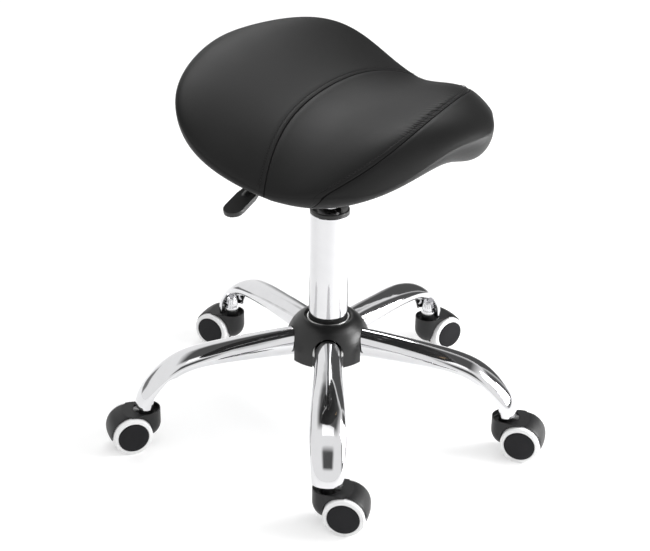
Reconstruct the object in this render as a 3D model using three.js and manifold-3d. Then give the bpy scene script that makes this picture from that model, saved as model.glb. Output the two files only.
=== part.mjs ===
// A saddle stool: five pressed legs on hooded twin-wheel casters, a gas lift and an upholstered saddle.
// Millimetres, +Z up. The sitter faces -Y, so +X is the sitter's left.

import * as THREE from 'three';
import { mergeVertices } from 'three/addons/utils/BufferGeometryUtils.js';
import Module from 'manifold-3d';

const wasm = await Module();
wasm.setup();

const degree = Math.PI / 180;

// Shared values: the gap between pieces that touch, how far a cutter runs past what it cuts,
// and the numbers of flats that stand for a circle and for shorter arcs.
const clearance = 0.3;
const overrun = 4;
const sides = { small: 12, wheel: 20, column: 28 };
const arcSteps = { short: 3, dome: 5, long: 8 };

// Casters. The hood turns about the stem, and the wheels roll on an axle that trails the stem.
const caster = {
  count: 5,
  firstAngle: -83,
  skews: [0, 0, 0, 0, 1.3],
  turns: [2, -19.5, 28, 3.5, 79.9],
  pivotRadius: 240.6,
  trail: 22.8,
  wheelDiameter: 50,
  wheelWidth: 18,
  faceBulge: 0.8,
  tyreThickness: 5.6,
  tyreEdge: 1.8,
  treadInset: 1.4,
  webThickness: 14,
  axleDiameter: 6,
  axleEndWall: 4,
  wheelRunningGap: 0.5,
};
const hood = {
  height: 51.8,
  cupDiameter: 36,
  cupFloor: 12,
  cupRound: 21,
  cupSweep: 62,
  wallThickness: 1.8,
  wheelGap: 0.9,
  width: 41,
  tipAngle: -6,
  cornerRound: 6,
  shoulder: 17,
  wellDiameter: 33,
  wellDepth: 6.5,
  bossDiameter: 18,
  bossRise: 3.8,
  depthBelowAxle: 9,
};
const stem = {
  diameter: 11,
  depthInHood: 33,
  collarDiameter: 16,
  collarThickness: 1.8,
  lengthInSocket: 16,
  tipChamfer: 1.5,
};

// Legs: oval tubes pressed flatter and wider towards the caster, where they turn down.
// Each station holds shares of the reach, of the drop, of the full width and of the root depth.
const leg = {
  rootHeight: 121,
  width: 43.4,
  rootDepth: 39,
  endShift: 1.2,
  wall: 1.6,
  socketDiameter: 20,
  socketTopDiameter: 14,
  socketRoof: 2,
  mouthStation: 5,
  mouthCheek: 3.5,
  pocketStation: 4,
  sectionPoints: 14,
  stationShares: [
    [0.10, 0.00, 0.79, 1.00],
    [0.30, 0.00, 0.81, 0.90],
    [0.50, 0.02, 0.86, 0.77],
    [0.62, 0.04, 0.94, 0.67],
    [0.73, 0.09, 0.985, 0.60],
    [0.81, 0.18, 1.00, 0.565],
    [0.88, 0.34, 1.00, 0.545],
    [0.94, 0.56, 0.965, 0.56],
    [0.98, 0.78, 0.92, 0.60],
    [1.00, 1.00, 0.88, 0.64],
  ],
};
const hub = {
  sleeveWall: 2.7,
  sleeveBelowLegs: 20,
  sleeveAboveLegs: 30,
  coverDiameter: 103,
  coverBelowLegs: 19,
  coverAboveLegs: 31.8,
  shoulderBelowLegs: 3,
  crestWidth: 3,
  coverWall: 2.4,
  coverFoot: 3.5,
  domePower: 1.15,
  archSideGap: 1.8,
  archTopGap: 0.3,
};

// Column: the outer tube stands in the hub and the gas cylinder slides in its guide bush.
const column = {
  diameter: 50,
  wall: 1.7,
  top: 296,
  chromeAboveLegs: 36.5,
  bandInset: 0.3,
  foot: 84,
  footThickness: 4,
  footInset: 0.6,
};
const bush = {
  length: 56,
  flangeHeight: 5.2,
  dishDiameter: 45,
  dishDepth: 3.6,
  dishFloorDiameter: 33,
};
const rod = {
  diameter: 10,
  tailLength: 8.5,
  clipGroove: 1,
  clipThickness: 1.2,
  clipDiameter: 18,
  collarDiameter: 18,
  collarThickness: 2.4,
  pistonThickness: 12,
  pistonOverlap: 24,
};
const bearing = {
  diameter: 26,
  thickness: 6,
  raceGroove: 1.5,
  raceShare: 0.4,
};
const buffer = {
  diameter: 24,
  thickness: 12.4,
  edge: 1.5,
};
const cylinder = {
  diameter: 28,
  wall: 1.4,
  glandThickness: 8,
  headThickness: 14,
  taper: 0.6,
  headStandOut: 2,
};
const releasePin = {
  diameter: 6,
  headDiameter: 10,
  headThickness: 3.5,
  standOut: 4.5,
  depth: 22,
};

// Seat mechanism: a bolted plate with a channel that holds the lever and a socket for the cylinder.
const mechanism = {
  plateWidth: 130,
  plateDepth: 88,
  plateThickness: 3,
  channelWidth: 56,
  channelLength: 96,
  channelHeight: 36,
  wall: 2.5,
  socketDiameter: 35,
  socketLength: 44,
  socketGap: 6.5,
  boltInset: 11,
  leverSlotGap: 1.5,
};
const bolt = {
  diameter: 6,
  headAcross: 11,
  headThickness: 4,
  grip: 6.6,
};
const lever = {
  diameter: 8,
  pivotDistance: 30,
  pivotPinDiameter: 5,
  eyeDiameter: 13,
  eyeWidth: 12,
  innerReach: 14,
  travel: 4,
  straightEnd: 60,
  rise: 13.2,
  paddleStart: 136,
  paddleOffset: 24.5,
  paddleYaw: 2,
  paddleDroop: 12,
  paddleLength: 70,
  paddleWidth: 24,
  paddleThickness: 6,
  paddleEdge: 1.4,
  paddleRootShare: 0.62,
  paddleWaistShare: 0.45,
  grip: 32,
};

// Saddle. Positions round it are turns from the nose, and the shares are of the sizes they follow:
// cosines of the turn for the plan and the rim, and powers of the way to the nose for the crown.
const saddle = {
  length: 343.4,
  width: 444,
  forward: 21,
  noseReach: 6.6,
  noseWidth: 100,
  noseDrop: 21,
  foamHeight: 55.6,
  rearRise: 80,
  sideDroop: 25,
  rimRise: 74,
  planShares: [1.021, -0.157, -0.083, -0.036, -0.104, -0.02],
  rimShares: [0.403, -0.378, 0.309, 0.067, -0.026],
  crownShares: [0, -0.413, 0.698, -0.056, -0.164],
  droopShares: [1, 1.64, -1.22, -0.35],
  droopPower: 2.28,
  edgeFullness: 2.47,
  equatorShare: 0.54,
  rimShare: 0.85,
  flatShare: 0.45,
  lipShare: 0.79,
  panShare: 0.775,
  panThickness: 8,
  seamRadius: 2.2,
  turnSteps: 40,
};
const rearSeam = { turn: 87.6, middle: -29, power: 2 };
const frontSeam = { turn: 62.3, middle: 113.8, power: 3 };

const casterAngles = caster.skews.map((skew, index) => (
  caster.firstAngle + skew + (360 / caster.count) * index
));
const columnRadius = column.diameter / 2;
const bandRadius = columnRadius - column.bandInset;
const boreRadius = columnRadius - column.wall;
const sleeveInner = bandRadius + clearance;
const sleeveOuter = sleeveInner + hub.sleeveWall;
const wheelRadius = caster.wheelDiameter / 2;
const wheelInner = caster.webThickness / 2 + caster.wheelRunningGap;
const discRadius = wheelRadius - caster.tyreThickness;
const bossTop = hood.height + hood.bossRise;
const sleeveBottom = leg.rootHeight - hub.sleeveBelowLegs;
const sleeveTop = leg.rootHeight + hub.sleeveAboveLegs;
const coverBottom = leg.rootHeight - hub.coverBelowLegs;
const coverTop = leg.rootHeight + hub.coverAboveLegs;
const coverShoulder = leg.rootHeight - hub.shoulderBelowLegs;
const chromeBottom = leg.rootHeight + column.chromeAboveLegs;
const footTop = column.foot + column.footThickness;
const bearingTop = footTop + clearance + bearing.thickness;
const collarTop = bearingTop + clearance + rod.collarThickness;
const bufferTop = collarTop + clearance + buffer.thickness;
const cylinderBottom = bufferTop + clearance;
const bushTop = column.top + clearance + bush.flangeHeight;
const socketBottom = bushTop + mechanism.socketGap;
const channelBottom = socketBottom + mechanism.socketLength;
const cylinderTop = channelBottom + cylinder.headStandOut;
const cylinderRadius = cylinder.diameter / 2;
const pinTop = cylinderTop + releasePin.standOut + releasePin.headThickness;
const leverHeight = pinTop + clearance + lever.diameter / 2;
const plateBottom = channelBottom + mechanism.channelHeight;
const panBottom = plateBottom + mechanism.plateThickness + clearance;

// Geometry helpers.

function outward(geometry) {
  geometry.deleteAttribute('normal');
  geometry.deleteAttribute('uv');
  const merged = mergeVertices(geometry);
  const position = merged.attributes.position;
  const [a, b, c] = [new THREE.Vector3(), new THREE.Vector3(), new THREE.Vector3()];
  const kept = [];
  let volume = 0;
  for (let i = 0; i < merged.index.count; i += 3) {
    const corners = [0, 1, 2].map((k) => merged.index.getX(i + k));
    if (new Set(corners).size < 3) continue;
    kept.push(corners);
    a.fromBufferAttribute(position, corners[0]);
    b.fromBufferAttribute(position, corners[1]);
    c.fromBufferAttribute(position, corners[2]);
    volume += a.dot(b.cross(c));
  }
  const faces = volume < 0 ? kept.map(([p, q, r]) => [p, r, q]) : kept;
  merged.setIndex(faces.flat());
  merged.computeVertexNormals();
  return merged;
}

function solidOf(geometry) {
  const closed = outward(geometry);
  return new wasm.Manifold(new wasm.Mesh({
    numProp: 3,
    vertProperties: Float32Array.from(closed.attributes.position.array),
    triVerts: Uint32Array.from(closed.index.array),
  }));
}

function geometryOf(solid) {
  const mesh = solid.getMesh();
  const geometry = new THREE.BufferGeometry();
  geometry.setAttribute('position', new THREE.BufferAttribute(Float32Array.from(mesh.vertProperties), 3));
  geometry.setIndex(new THREE.BufferAttribute(Uint32Array.from(mesh.triVerts), 1));
  geometry.computeVertexNormals();
  return geometry;
}

// A profile of [radius, height] pairs turned about Z.
function turned(profile, segments, closes = false) {
  const points = profile.map(([radius, height]) => new THREE.Vector2(radius, height));
  if (closes) points.push(points[0].clone());
  const geometry = new THREE.LatheGeometry(points, segments);
  geometry.rotateX(90 * degree);
  return outward(geometry);
}

function turnedRing(profile, segments) {
  return turned(profile, segments, true);
}

function cylinderBetween(radius, low, high, segments) {
  return turned([[0, low], [radius, low], [radius, high], [0, high]], segments);
}

function boxBetween(low, high) {
  const geometry = new THREE.BoxGeometry(high[0] - low[0], high[1] - low[1], high[2] - low[2]);
  geometry.translate((low[0] + high[0]) / 2, (low[1] + high[1]) / 2, (low[2] + high[2]) / 2);
  return geometry;
}

// An outline of [x, z] pairs pushed along Y, the same way on both sides of the XZ plane.
function slabAcross(outline, thickness) {
  const shape = new THREE.Shape(outline.map(([x, z]) => new THREE.Vector2(x, z)));
  const geometry = new THREE.ExtrudeGeometry(shape, { depth: thickness, bevelEnabled: false });
  geometry.translate(0, 0, -thickness / 2);
  geometry.rotateX(90 * degree);
  return geometry;
}

// An outline of [x, y] pairs pushed up Z.
function slabUp(outline, low, high) {
  const shape = new THREE.Shape(outline.map(([x, y]) => new THREE.Vector2(x, y)));
  const geometry = new THREE.ExtrudeGeometry(shape, { depth: high - low, bevelEnabled: false });
  geometry.translate(0, 0, low);
  return geometry;
}

function arcPoints(centre, radius, from, to, steps) {
  return Array.from({ length: steps + 1 }, (unused, step) => {
    const angle = (from + ((to - from) * step) / steps) * degree;
    return [centre[0] + radius * Math.cos(angle), centre[1] + radius * Math.sin(angle)];
  });
}

// A closed body through rings of equal length. A ring of one point is a pole.
function loft(rings) {
  const points = [];
  const faces = [];
  const starts = rings.map((ring) => {
    const start = points.length;
    points.push(...ring);
    return start;
  });
  const addCap = (start, count, flipped) => {
    const middle = points.slice(start, start + count).reduce((sum, point) => sum.add(point), new THREE.Vector3());
    points.push(middle.divideScalar(count));
    const pole = points.length - 1;
    for (let i = 0; i < count; i += 1) {
      const next = (i + 1) % count;
      faces.push(flipped ? [pole, start + next, start + i] : [pole, start + i, start + next]);
    }
  };
  for (let k = 0; k + 1 < rings.length; k += 1) {
    const [low, high] = [starts[k], starts[k + 1]];
    const count = Math.max(rings[k].length, rings[k + 1].length);
    const at = (start, ring, i) => start + (ring.length === 1 ? 0 : i % count);
    for (let i = 0; i < count; i += 1) {
      const quad = [at(low, rings[k], i), at(low, rings[k], i + 1), at(high, rings[k + 1], i + 1), at(high, rings[k + 1], i)];
      faces.push([quad[0], quad[1], quad[2]], [quad[0], quad[2], quad[3]]);
    }
  }
  if (rings[0].length > 1) addCap(starts[0], rings[0].length, true);
  if (rings.at(-1).length > 1) addCap(starts.at(-1), rings.at(-1).length, false);
  const geometry = new THREE.BufferGeometry();
  geometry.setAttribute('position', new THREE.Float32BufferAttribute(points.flatMap((point) => point.toArray()), 3));
  geometry.setIndex(faces.flat());
  return outward(geometry);
}

function piece(name, geometry, material) {
  const mesh = new THREE.Mesh(geometry, material);
  mesh.name = name;
  return mesh;
}

// Materials.

const finish = (color, roughness, metalness) => new THREE.MeshStandardMaterial({ color, roughness, metalness });
const chrome = () => finish(0xd9dadd, 0.08, 1);
const zincSteel = () => finish(0xa9abad, 0.35, 1);
const blackSteel = () => finish(0x1b1b1c, 0.5, 0.6);
const blackPlastic = () => finish(0x232325, 0.55, 0);
const capPlastic = () => finish(0x35373a, 0.5, 0);
const treadPolymer = () => finish(0xe6e7e8, 0.45, 0);
const blackRubber = () => finish(0x171717, 0.85, 0);
const blackLeather = () => finish(0x2b2b2c, 0.5, 0);
const plywood = () => finish(0xb28c5c, 0.7, 0);

// Casters.

// Everything of the hood is laid out with the stem on the Z axis and the axle at x = trail.
function hoodGeometry() {
  const axle = [caster.trail, wheelRadius];
  const cupRadius = hood.cupDiameter / 2;
  const well = wheelRadius + hood.wheelGap;
  const outer = well + hood.wallThickness;
  const cup = solidOf(turned([
    [0, hood.cupFloor],
    ...arcPoints([cupRadius - hood.cupRound, hood.cupFloor + hood.cupRound], hood.cupRound, -hood.cupSweep, 0, arcSteps.short),
    [cupRadius, hood.height],
    [0, hood.height],
  ], sides.wheel));
  const topAngle = Math.asin(Math.min(1, (hood.height - axle[1]) / outer)) / degree;
  const profile = [
    [0, hood.cupFloor],
    [axle[0], axle[1] - hood.depthBelowAxle],
    ...arcPoints(axle, outer, hood.tipAngle, topAngle, arcSteps.long),
    [0, hood.height],
  ];
  const halfWidth = hood.width / 2;
  const rear = axle[0] + outer + overrun;
  const plan = [
    ...arcPoints([0, 0], cupRadius, 90, 270, arcSteps.long),
    [hood.shoulder, -halfWidth],
    [axle[0] + outer - hood.cornerRound, -halfWidth],
    [rear, -halfWidth + hood.cornerRound],
    [rear, halfWidth - hood.cornerRound],
    [axle[0] + outer - hood.cornerRound, halfWidth],
    [hood.shoulder, halfWidth],
  ];
  const block = solidOf(slabAcross(profile, hood.width + overrun))
    .intersect(solidOf(slabUp(plan, -overrun, hood.height + overrun)));
  return geometryOf(cup.add(block)
    .subtract(wheelWell(1, axle, well))
    .subtract(wheelWell(-1, axle, well))
    .subtract(stemWell())
    .add(stemBoss())
    .subtract(stemBore())
    .subtract(axleBore()));
}

function wheelWell(side, axle, radius) {
  const geometry = new THREE.CylinderGeometry(radius, radius, hood.width, sides.wheel);
  geometry.rotateY(180 * degree / sides.wheel);
  geometry.translate(axle[0], side * (caster.webThickness / 2 + hood.width / 2), axle[1]);
  return solidOf(geometry);
}

function stemWell() {
  const floor = hood.height - hood.wellDepth;
  return solidOf(cylinderBetween(hood.wellDiameter / 2, floor, hood.height + overrun, sides.wheel));
}

function stemBoss() {
  const floor = hood.height - hood.wellDepth;
  return solidOf(cylinderBetween(hood.bossDiameter / 2, floor - clearance, bossTop, sides.wheel));
}

function stemBore() {
  const end = bossTop - stem.depthInHood - clearance;
  return solidOf(cylinderBetween(stem.diameter / 2 + clearance, end, bossTop + overrun, sides.wheel));
}

function alongAxle(geometry) {
  geometry.rotateX(-90 * degree);
  geometry.translate(caster.trail, 0, wheelRadius);
  return geometry;
}

function flatDown(geometry) {
  geometry.rotateZ((180 / sides.wheel) * degree);
  return geometry;
}

function axleBore() {
  const reach = caster.webThickness;
  return solidOf(alongAxle(cylinderBetween(caster.axleDiameter / 2 + clearance, -reach, reach, sides.small)));
}

function stemGeometry() {
  const radius = stem.diameter / 2;
  const collarBottom = bossTop + clearance;
  const collarTopAt = collarBottom + stem.collarThickness;
  const top = collarTopAt + stem.lengthInSocket;
  return turned([
    [0, collarBottom - stem.depthInHood],
    [radius, collarBottom - stem.depthInHood],
    [radius, collarBottom],
    [stem.collarDiameter / 2, collarBottom],
    [stem.collarDiameter / 2, collarTopAt],
    [radius, collarTopAt],
    [radius, top - stem.tipChamfer],
    [radius - stem.tipChamfer, top],
    [0, top],
  ], sides.small);
}

function axleGeometry() {
  const reach = wheelInner + caster.wheelWidth - caster.axleEndWall - clearance;
  return alongAxle(cylinderBetween(caster.axleDiameter / 2, -reach, reach, sides.small));
}

// The wheel is turned with its face outward along Z and then laid on the axle.
function wheelGeometry(side) {
  const face = wheelInner + caster.wheelWidth;
  const bore = caster.axleDiameter / 2 + clearance;
  const profile = [
    [0, face - caster.axleEndWall],
    [bore, face - caster.axleEndWall],
    [bore, wheelInner],
    [discRadius, wheelInner],
    [discRadius, face - caster.faceBulge],
    [discRadius - caster.faceBulge, face],
    [0, face],
  ];
  return alongAxle(flatDown(turned(profile.map(([r, z]) => [r, side * z]), sides.wheel)));
}

function tyreGeometry(side) {
  const inner = discRadius + clearance;
  const high = wheelInner + caster.wheelWidth - caster.treadInset;
  const profile = [
    [inner, wheelInner],
    [wheelRadius, wheelInner],
    [wheelRadius, high - caster.tyreEdge],
    [wheelRadius - caster.tyreEdge, high],
    [inner, high + caster.faceBulge],
  ];
  return alongAxle(flatDown(turnedRing(profile.map(([r, z]) => [r, side * z]), sides.wheel)));
}

function casters() {
  const group = new THREE.Group();
  const shapes = {
    hood: hoodGeometry(),
    stem: stemGeometry(),
    axle: axleGeometry(),
    wheels: { left: wheelGeometry(1), right: wheelGeometry(-1) },
    tyres: { left: tyreGeometry(1), right: tyreGeometry(-1) },
  };
  casterAngles.forEach((angle, index) => {
    const number = index + 1;
    const one = new THREE.Group();
    one.add(piece(`caster_${number}_hood`, shapes.hood, blackPlastic()));
    one.add(piece(`caster_${number}_stem`, shapes.stem, zincSteel()));
    one.add(piece(`caster_${number}_axle`, shapes.axle, zincSteel()));
    for (const side of ['left', 'right']) {
      one.add(piece(`caster_${number}_wheel_${side}`, shapes.wheels[side], capPlastic()));
      one.add(piece(`caster_${number}_tyre_${side}`, shapes.tyres[side], treadPolymer()));
    }
    one.position.set(
      caster.pivotRadius * Math.cos(angle * degree),
      caster.pivotRadius * Math.sin(angle * degree),
      0,
    );
    one.rotation.z = (angle + caster.turns[index]) * degree;
    group.add(one);
  });
  return group;
}

// Legs, laid out along +X from the column's axis.

const legReach = caster.pivotRadius + leg.endShift;
const legEnd = bossTop + clearance + stem.collarThickness + clearance;

function legStation([reachShare, dropShare, widthShare, depthShare], inset) {
  return {
    middle: new THREE.Vector3(legReach * reachShare, 0, leg.rootHeight - (leg.rootHeight - legEnd) * dropShare),
    halfWidth: (leg.width / 2) * widthShare - inset,
    halfDepth: (leg.rootDepth / 2) * depthShare - inset,
    drop: dropShare,
  };
}

function legLoft(inset, firstStation, runsOn) {
  const stations = leg.stationShares.slice(firstStation).map((shares) => legStation(shares, inset));
  const path = new THREE.CatmullRomCurve3(stations.map((station) => station.middle), false, 'centripetal');
  const rings = stations.map((station, index) => {
    const along = path.getTangent(index / (stations.length - 1));
    const last = index === stations.length - 1;
    const across = last ? new THREE.Vector3(1, 0, 0) : new THREE.Vector3(-along.z, 0, along.x);
    return ovalRing(station, across);
  });
  if (runsOn > 0) {
    const end = stations.at(-1);
    end.middle.z -= runsOn;
    rings.push(ovalRing(end, new THREE.Vector3(1, 0, 0)));
  }
  return solidOf(loft(rings));
}

function ovalRing({ middle, halfWidth, halfDepth }, across) {
  return Array.from({ length: leg.sectionPoints }, (unused, k) => {
    const angle = ((360 / leg.sectionPoints) * k) * degree;
    const point = middle.clone().addScaledVector(across, -halfDepth * Math.cos(angle));
    point.y += halfWidth * Math.sin(angle);
    return point;
  });
}

// The inner half of the tube is cut away at the end, so the outer half hangs like a hood over the socket.
function mouthCutter() {
  const stations = leg.stationShares.slice(leg.mouthStation).map((shares) => legStation(shares, 0));
  const [start, ...rest] = stations;
  const outline = [
    [start.middle.x, start.middle.z - start.halfDepth],
    ...rest.map(({ middle, drop }) => [middle.x - leg.mouthCheek * drop, middle.z]),
    [legReach - leg.mouthCheek, legEnd - overrun],
    [start.middle.x, legEnd - overrun],
  ];
  return solidOf(slabAcross(outline, leg.width + overrun));
}

function legGeometry() {
  const halfTurn = (180 / caster.count) * degree;
  const far = legReach + leg.width;
  const apex = clearance / Math.sin(halfTurn);
  const mitre = [[apex, 0], [far, -(far - apex) * Math.tan(halfTurn)], [far, (far - apex) * Math.tan(halfTurn)]];
  const wedge = solidOf(slabUp(mitre, 0, leg.rootHeight + leg.rootDepth));
  const sleeveRoom = solidOf(cylinderBetween(sleeveOuter + clearance, 0, leg.rootHeight + leg.rootDepth, sides.column));
  const shell = legLoft(0, 0, 0)
    .intersect(wedge)
    .subtract(sleeveRoom)
    .subtract(legLoft(leg.wall, leg.pocketStation, overrun))
    .subtract(mouthCutter());
  const boreTop = legEnd + stem.lengthInSocket;
  const socketTop = boreTop + leg.socketRoof;
  const socket = turned([
    [0, legEnd],
    [leg.socketDiameter / 2, legEnd],
    [leg.socketTopDiameter / 2, socketTop],
    [0, socketTop],
  ], sides.wheel);
  socket.translate(caster.pivotRadius, 0, 0);
  const bore = cylinderBetween(stem.diameter / 2 + clearance, legEnd - overrun, boreTop, sides.small);
  bore.translate(caster.pivotRadius, 0, 0);
  const trimmed = solidOf(socket).intersect(legLoft(leg.wall / 2, 0, 0));
  return geometryOf(shell.add(trimmed).subtract(solidOf(bore)));
}

function legs() {
  const group = new THREE.Group();
  const shape = legGeometry();
  casterAngles.forEach((angle, index) => {
    const mesh = piece(`leg_${index + 1}`, shape, chrome());
    mesh.rotation.z = angle * degree;
    group.add(mesh);
  });
  return group;
}

// Hub.

function hubCoverGeometry() {
  const outer = hub.coverDiameter / 2;
  const lip = sleeveOuter + clearance;
  const crest = lip + hub.crestWidth;
  const domeAt = (inset) => Array.from({ length: arcSteps.dome + 1 }, (unused, k) => {
    const angle = (90 * degree * k) / arcSteps.dome;
    return [
      crest + (outer - inset - crest) * Math.cos(angle) ** hub.domePower,
      coverShoulder + (coverTop - inset - coverShoulder) * Math.sin(angle) ** hub.domePower,
    ];
  });
  const profile = [
    [outer - hub.coverFoot, coverBottom],
    [outer, coverBottom + 2 * hub.coverFoot],
    ...domeAt(0),
    [lip, coverTop - hub.coverWall / 2],
    [lip, coverTop - 2 * hub.coverWall],
    ...domeAt(hub.coverWall).reverse(),
    [outer - hub.coverWall, coverBottom + 2 * hub.coverFoot],
    [outer - hub.coverFoot - hub.coverWall, coverBottom],
  ];
  const halfArch = (leg.width / 2) * leg.stationShares[1][2] + hub.archSideGap;
  const archTop = leg.rootDepth / 2 + hub.archTopGap;
  const arch = [
    [-halfArch, coverBottom - overrun],
    ...Array.from({ length: arcSteps.long + 1 }, (unused, k) => {
      const angle = 180 * degree * (1 - k / arcSteps.long);
      return [halfArch * Math.cos(angle), leg.rootHeight + archTop * Math.sin(angle)];
    }),
    [halfArch, coverBottom - overrun],
  ];
  const start = sleeveOuter + clearance;
  let cover = solidOf(turnedRing(profile, sides.column));
  for (const angle of casterAngles) {
    const cutter = slabAcross(arch, outer);
    cutter.translate(0, start + outer / 2, 0);
    cutter.rotateZ((angle - 90) * degree);
    cover = cover.subtract(solidOf(cutter));
  }
  return geometryOf(cover);
}

function hubPieces() {
  const group = new THREE.Group();
  const sleeve = turnedRing([
    [sleeveInner, sleeveBottom],
    [sleeveOuter, sleeveBottom],
    [sleeveOuter, sleeveTop],
    [sleeveInner, sleeveTop],
  ], sides.column);
  group.add(piece('hub_sleeve', sleeve, zincSteel()));
  group.add(piece('hub_cover', hubCoverGeometry(), blackPlastic()));
  return group;
}

// Column and gas lift.

function columnTubeGeometry() {
  const hole = rod.diameter / 2 + clearance;
  return turnedRing([
    [hole, column.foot],
    [bandRadius - column.footInset, column.foot],
    [bandRadius, sleeveBottom],
    [bandRadius, chromeBottom],
    [columnRadius, chromeBottom],
    [columnRadius, column.top],
    [boreRadius, column.top],
    [boreRadius, footTop],
    [hole, footTop],
  ], sides.column);
}

function guideBushGeometry() {
  const bore = cylinderRadius + clearance;
  const sleeve = boreRadius - clearance;
  const flangeBottom = column.top + clearance;
  return turnedRing([
    [bore, column.top - bush.length],
    [sleeve, column.top - bush.length],
    [sleeve, flangeBottom],
    [columnRadius, flangeBottom],
    [columnRadius, bushTop - clearance],
    [columnRadius - clearance, bushTop],
    [bush.dishDiameter / 2, bushTop],
    [bush.dishFloorDiameter / 2, bushTop - bush.dishDepth],
    [bore, bushTop - bush.dishDepth],
  ], sides.column);
}

function thrustBearingGeometry() {
  const hole = rod.diameter / 2 + clearance;
  const rim = bearing.diameter / 2;
  const low = footTop + clearance;
  const race = bearing.thickness * bearing.raceShare;
  return turnedRing([
    [hole, low],
    [rim, low],
    [rim, low + race],
    [rim - bearing.raceGroove, low + race],
    [rim - bearing.raceGroove, bearingTop - race],
    [rim, bearingTop - race],
    [rim, bearingTop],
    [hole, bearingTop],
  ], sides.wheel);
}

function pistonRodGeometry() {
  const radius = rod.diameter / 2;
  const grooveRadius = radius - rod.clipGroove;
  const grooveTop = column.foot - clearance;
  const grooveBottom = grooveTop - rod.clipThickness - 2 * clearance;
  const pistonTop = column.top - bush.length + rod.pistonOverlap;
  const pistonRadius = cylinderRadius - cylinder.wall - clearance;
  return turned([
    [0, column.foot - rod.tailLength],
    [radius, column.foot - rod.tailLength],
    [radius, grooveBottom],
    [grooveRadius, grooveBottom],
    [grooveRadius, grooveTop],
    [radius, grooveTop],
    [radius, bearingTop + clearance],
    [rod.collarDiameter / 2, bearingTop + clearance],
    [rod.collarDiameter / 2, collarTop],
    [radius, collarTop],
    [radius, pistonTop - rod.pistonThickness],
    [pistonRadius, pistonTop - rod.pistonThickness],
    [pistonRadius, pistonTop],
    [0, pistonTop],
  ], sides.small);
}

function retainingClipGeometry() {
  const inner = rod.diameter / 2 - rod.clipGroove + clearance;
  const top = column.foot - 2 * clearance;
  return turnedRing([
    [inner, top - rod.clipThickness],
    [rod.clipDiameter / 2, top - rod.clipThickness],
    [rod.clipDiameter / 2, top],
    [inner, top],
  ], sides.small);
}

function bufferGeometry() {
  const hole = rod.diameter / 2 + clearance;
  const rim = buffer.diameter / 2;
  const low = collarTop + clearance;
  return turnedRing([
    [hole, low],
    [rim - buffer.edge, low],
    [rim, low + buffer.edge],
    [rim, bufferTop - buffer.edge],
    [rim - buffer.edge, bufferTop],
    [hole, bufferTop],
  ], sides.small);
}

function gasCylinderGeometry() {
  const inner = cylinderRadius - cylinder.wall;
  const gland = rod.diameter / 2 + clearance;
  const pinBore = releasePin.diameter / 2 + clearance;
  return turnedRing([
    [gland, cylinderBottom],
    [cylinderRadius, cylinderBottom],
    [cylinderRadius, socketBottom],
    [cylinderRadius - cylinder.taper, cylinderTop],
    [pinBore, cylinderTop],
    [pinBore, cylinderTop - cylinder.headThickness],
    [inner, cylinderTop - cylinder.headThickness],
    [inner, cylinderBottom + cylinder.glandThickness],
    [gland, cylinderBottom + cylinder.glandThickness],
  ], sides.wheel);
}

function releasePinGeometry() {
  const radius = releasePin.diameter / 2;
  const headBottom = pinTop - releasePin.headThickness;
  return turned([
    [0, headBottom - releasePin.depth],
    [radius, headBottom - releasePin.depth],
    [radius, headBottom],
    [releasePin.headDiameter / 2, headBottom],
    [releasePin.headDiameter / 2, pinTop],
    [0, pinTop],
  ], sides.small);
}

function columnPieces() {
  const group = new THREE.Group();
  group.add(piece('column_tube', columnTubeGeometry(), chrome()));
  group.add(piece('guide_bush', guideBushGeometry(), blackPlastic()));
  group.add(piece('thrust_bearing', thrustBearingGeometry(), zincSteel()));
  group.add(piece('piston_rod', pistonRodGeometry(), zincSteel()));
  group.add(piece('retaining_clip', retainingClipGeometry(), blackSteel()));
  group.add(piece('rubber_buffer', bufferGeometry(), blackRubber()));
  group.add(piece('gas_cylinder', gasCylinderGeometry(), chrome()));
  group.add(piece('release_pin', releasePinGeometry(), zincSteel()));
  return group;
}

// Seat mechanism and lever.

const boltPlaces = [-1, 1].flatMap((x) => [-1, 1].map((y) => [
  x * (mechanism.plateWidth / 2 - mechanism.boltInset),
  y * (mechanism.plateDepth / 2 - mechanism.boltInset),
]));

function mechanismGeometry() {
  const [halfWidth, halfDepth] = [mechanism.plateWidth / 2, mechanism.plateDepth / 2];
  const [halfLength, halfChannel] = [mechanism.channelLength / 2, mechanism.channelWidth / 2];
  const { wall } = mechanism;
  const plateTop = plateBottom + mechanism.plateThickness;
  const plate = solidOf(boxBetween([-halfWidth, -halfDepth, plateBottom], [halfWidth, halfDepth, plateTop]));
  const channel = solidOf(boxBetween([-halfLength, -halfChannel, channelBottom], [halfLength, halfChannel, plateTop]));
  const hollow = solidOf(boxBetween(
    [-halfLength + wall, -halfChannel + wall, channelBottom + wall],
    [halfLength - wall, halfChannel - wall, plateBottom],
  ));
  const socket = solidOf(cylinderBetween(mechanism.socketDiameter / 2, socketBottom, channelBottom + wall, sides.wheel));
  const bore = solidOf(turned([
    [0, socketBottom - overrun],
    [cylinderRadius + clearance, socketBottom - overrun],
    [cylinderRadius + clearance, socketBottom],
    [cylinderRadius - cylinder.taper + clearance, cylinderTop],
    [cylinderRadius - cylinder.taper + clearance, channelBottom + wall + overrun],
    [0, channelBottom + wall + overrun],
  ], sides.wheel));
  let body = channel.add(plate).subtract(hollow).add(socket).subtract(bore).subtract(leverSlot());
  const pinBore = cylinderBetween(lever.pivotPinDiameter / 2 + clearance, -halfWidth, halfWidth, sides.small);
  pinBore.rotateX(90 * degree);
  pinBore.translate(-lever.pivotDistance, 0, leverHeight);
  body = body.subtract(solidOf(pinBore));
  for (const [x, y] of boltPlaces) {
    const hole = cylinderBetween(bolt.diameter / 2 + clearance, plateBottom - overrun, plateTop + overrun, sides.small);
    hole.translate(x, y, 0);
    body = body.subtract(solidOf(hole));
  }
  return geometryOf(body);
}

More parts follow.
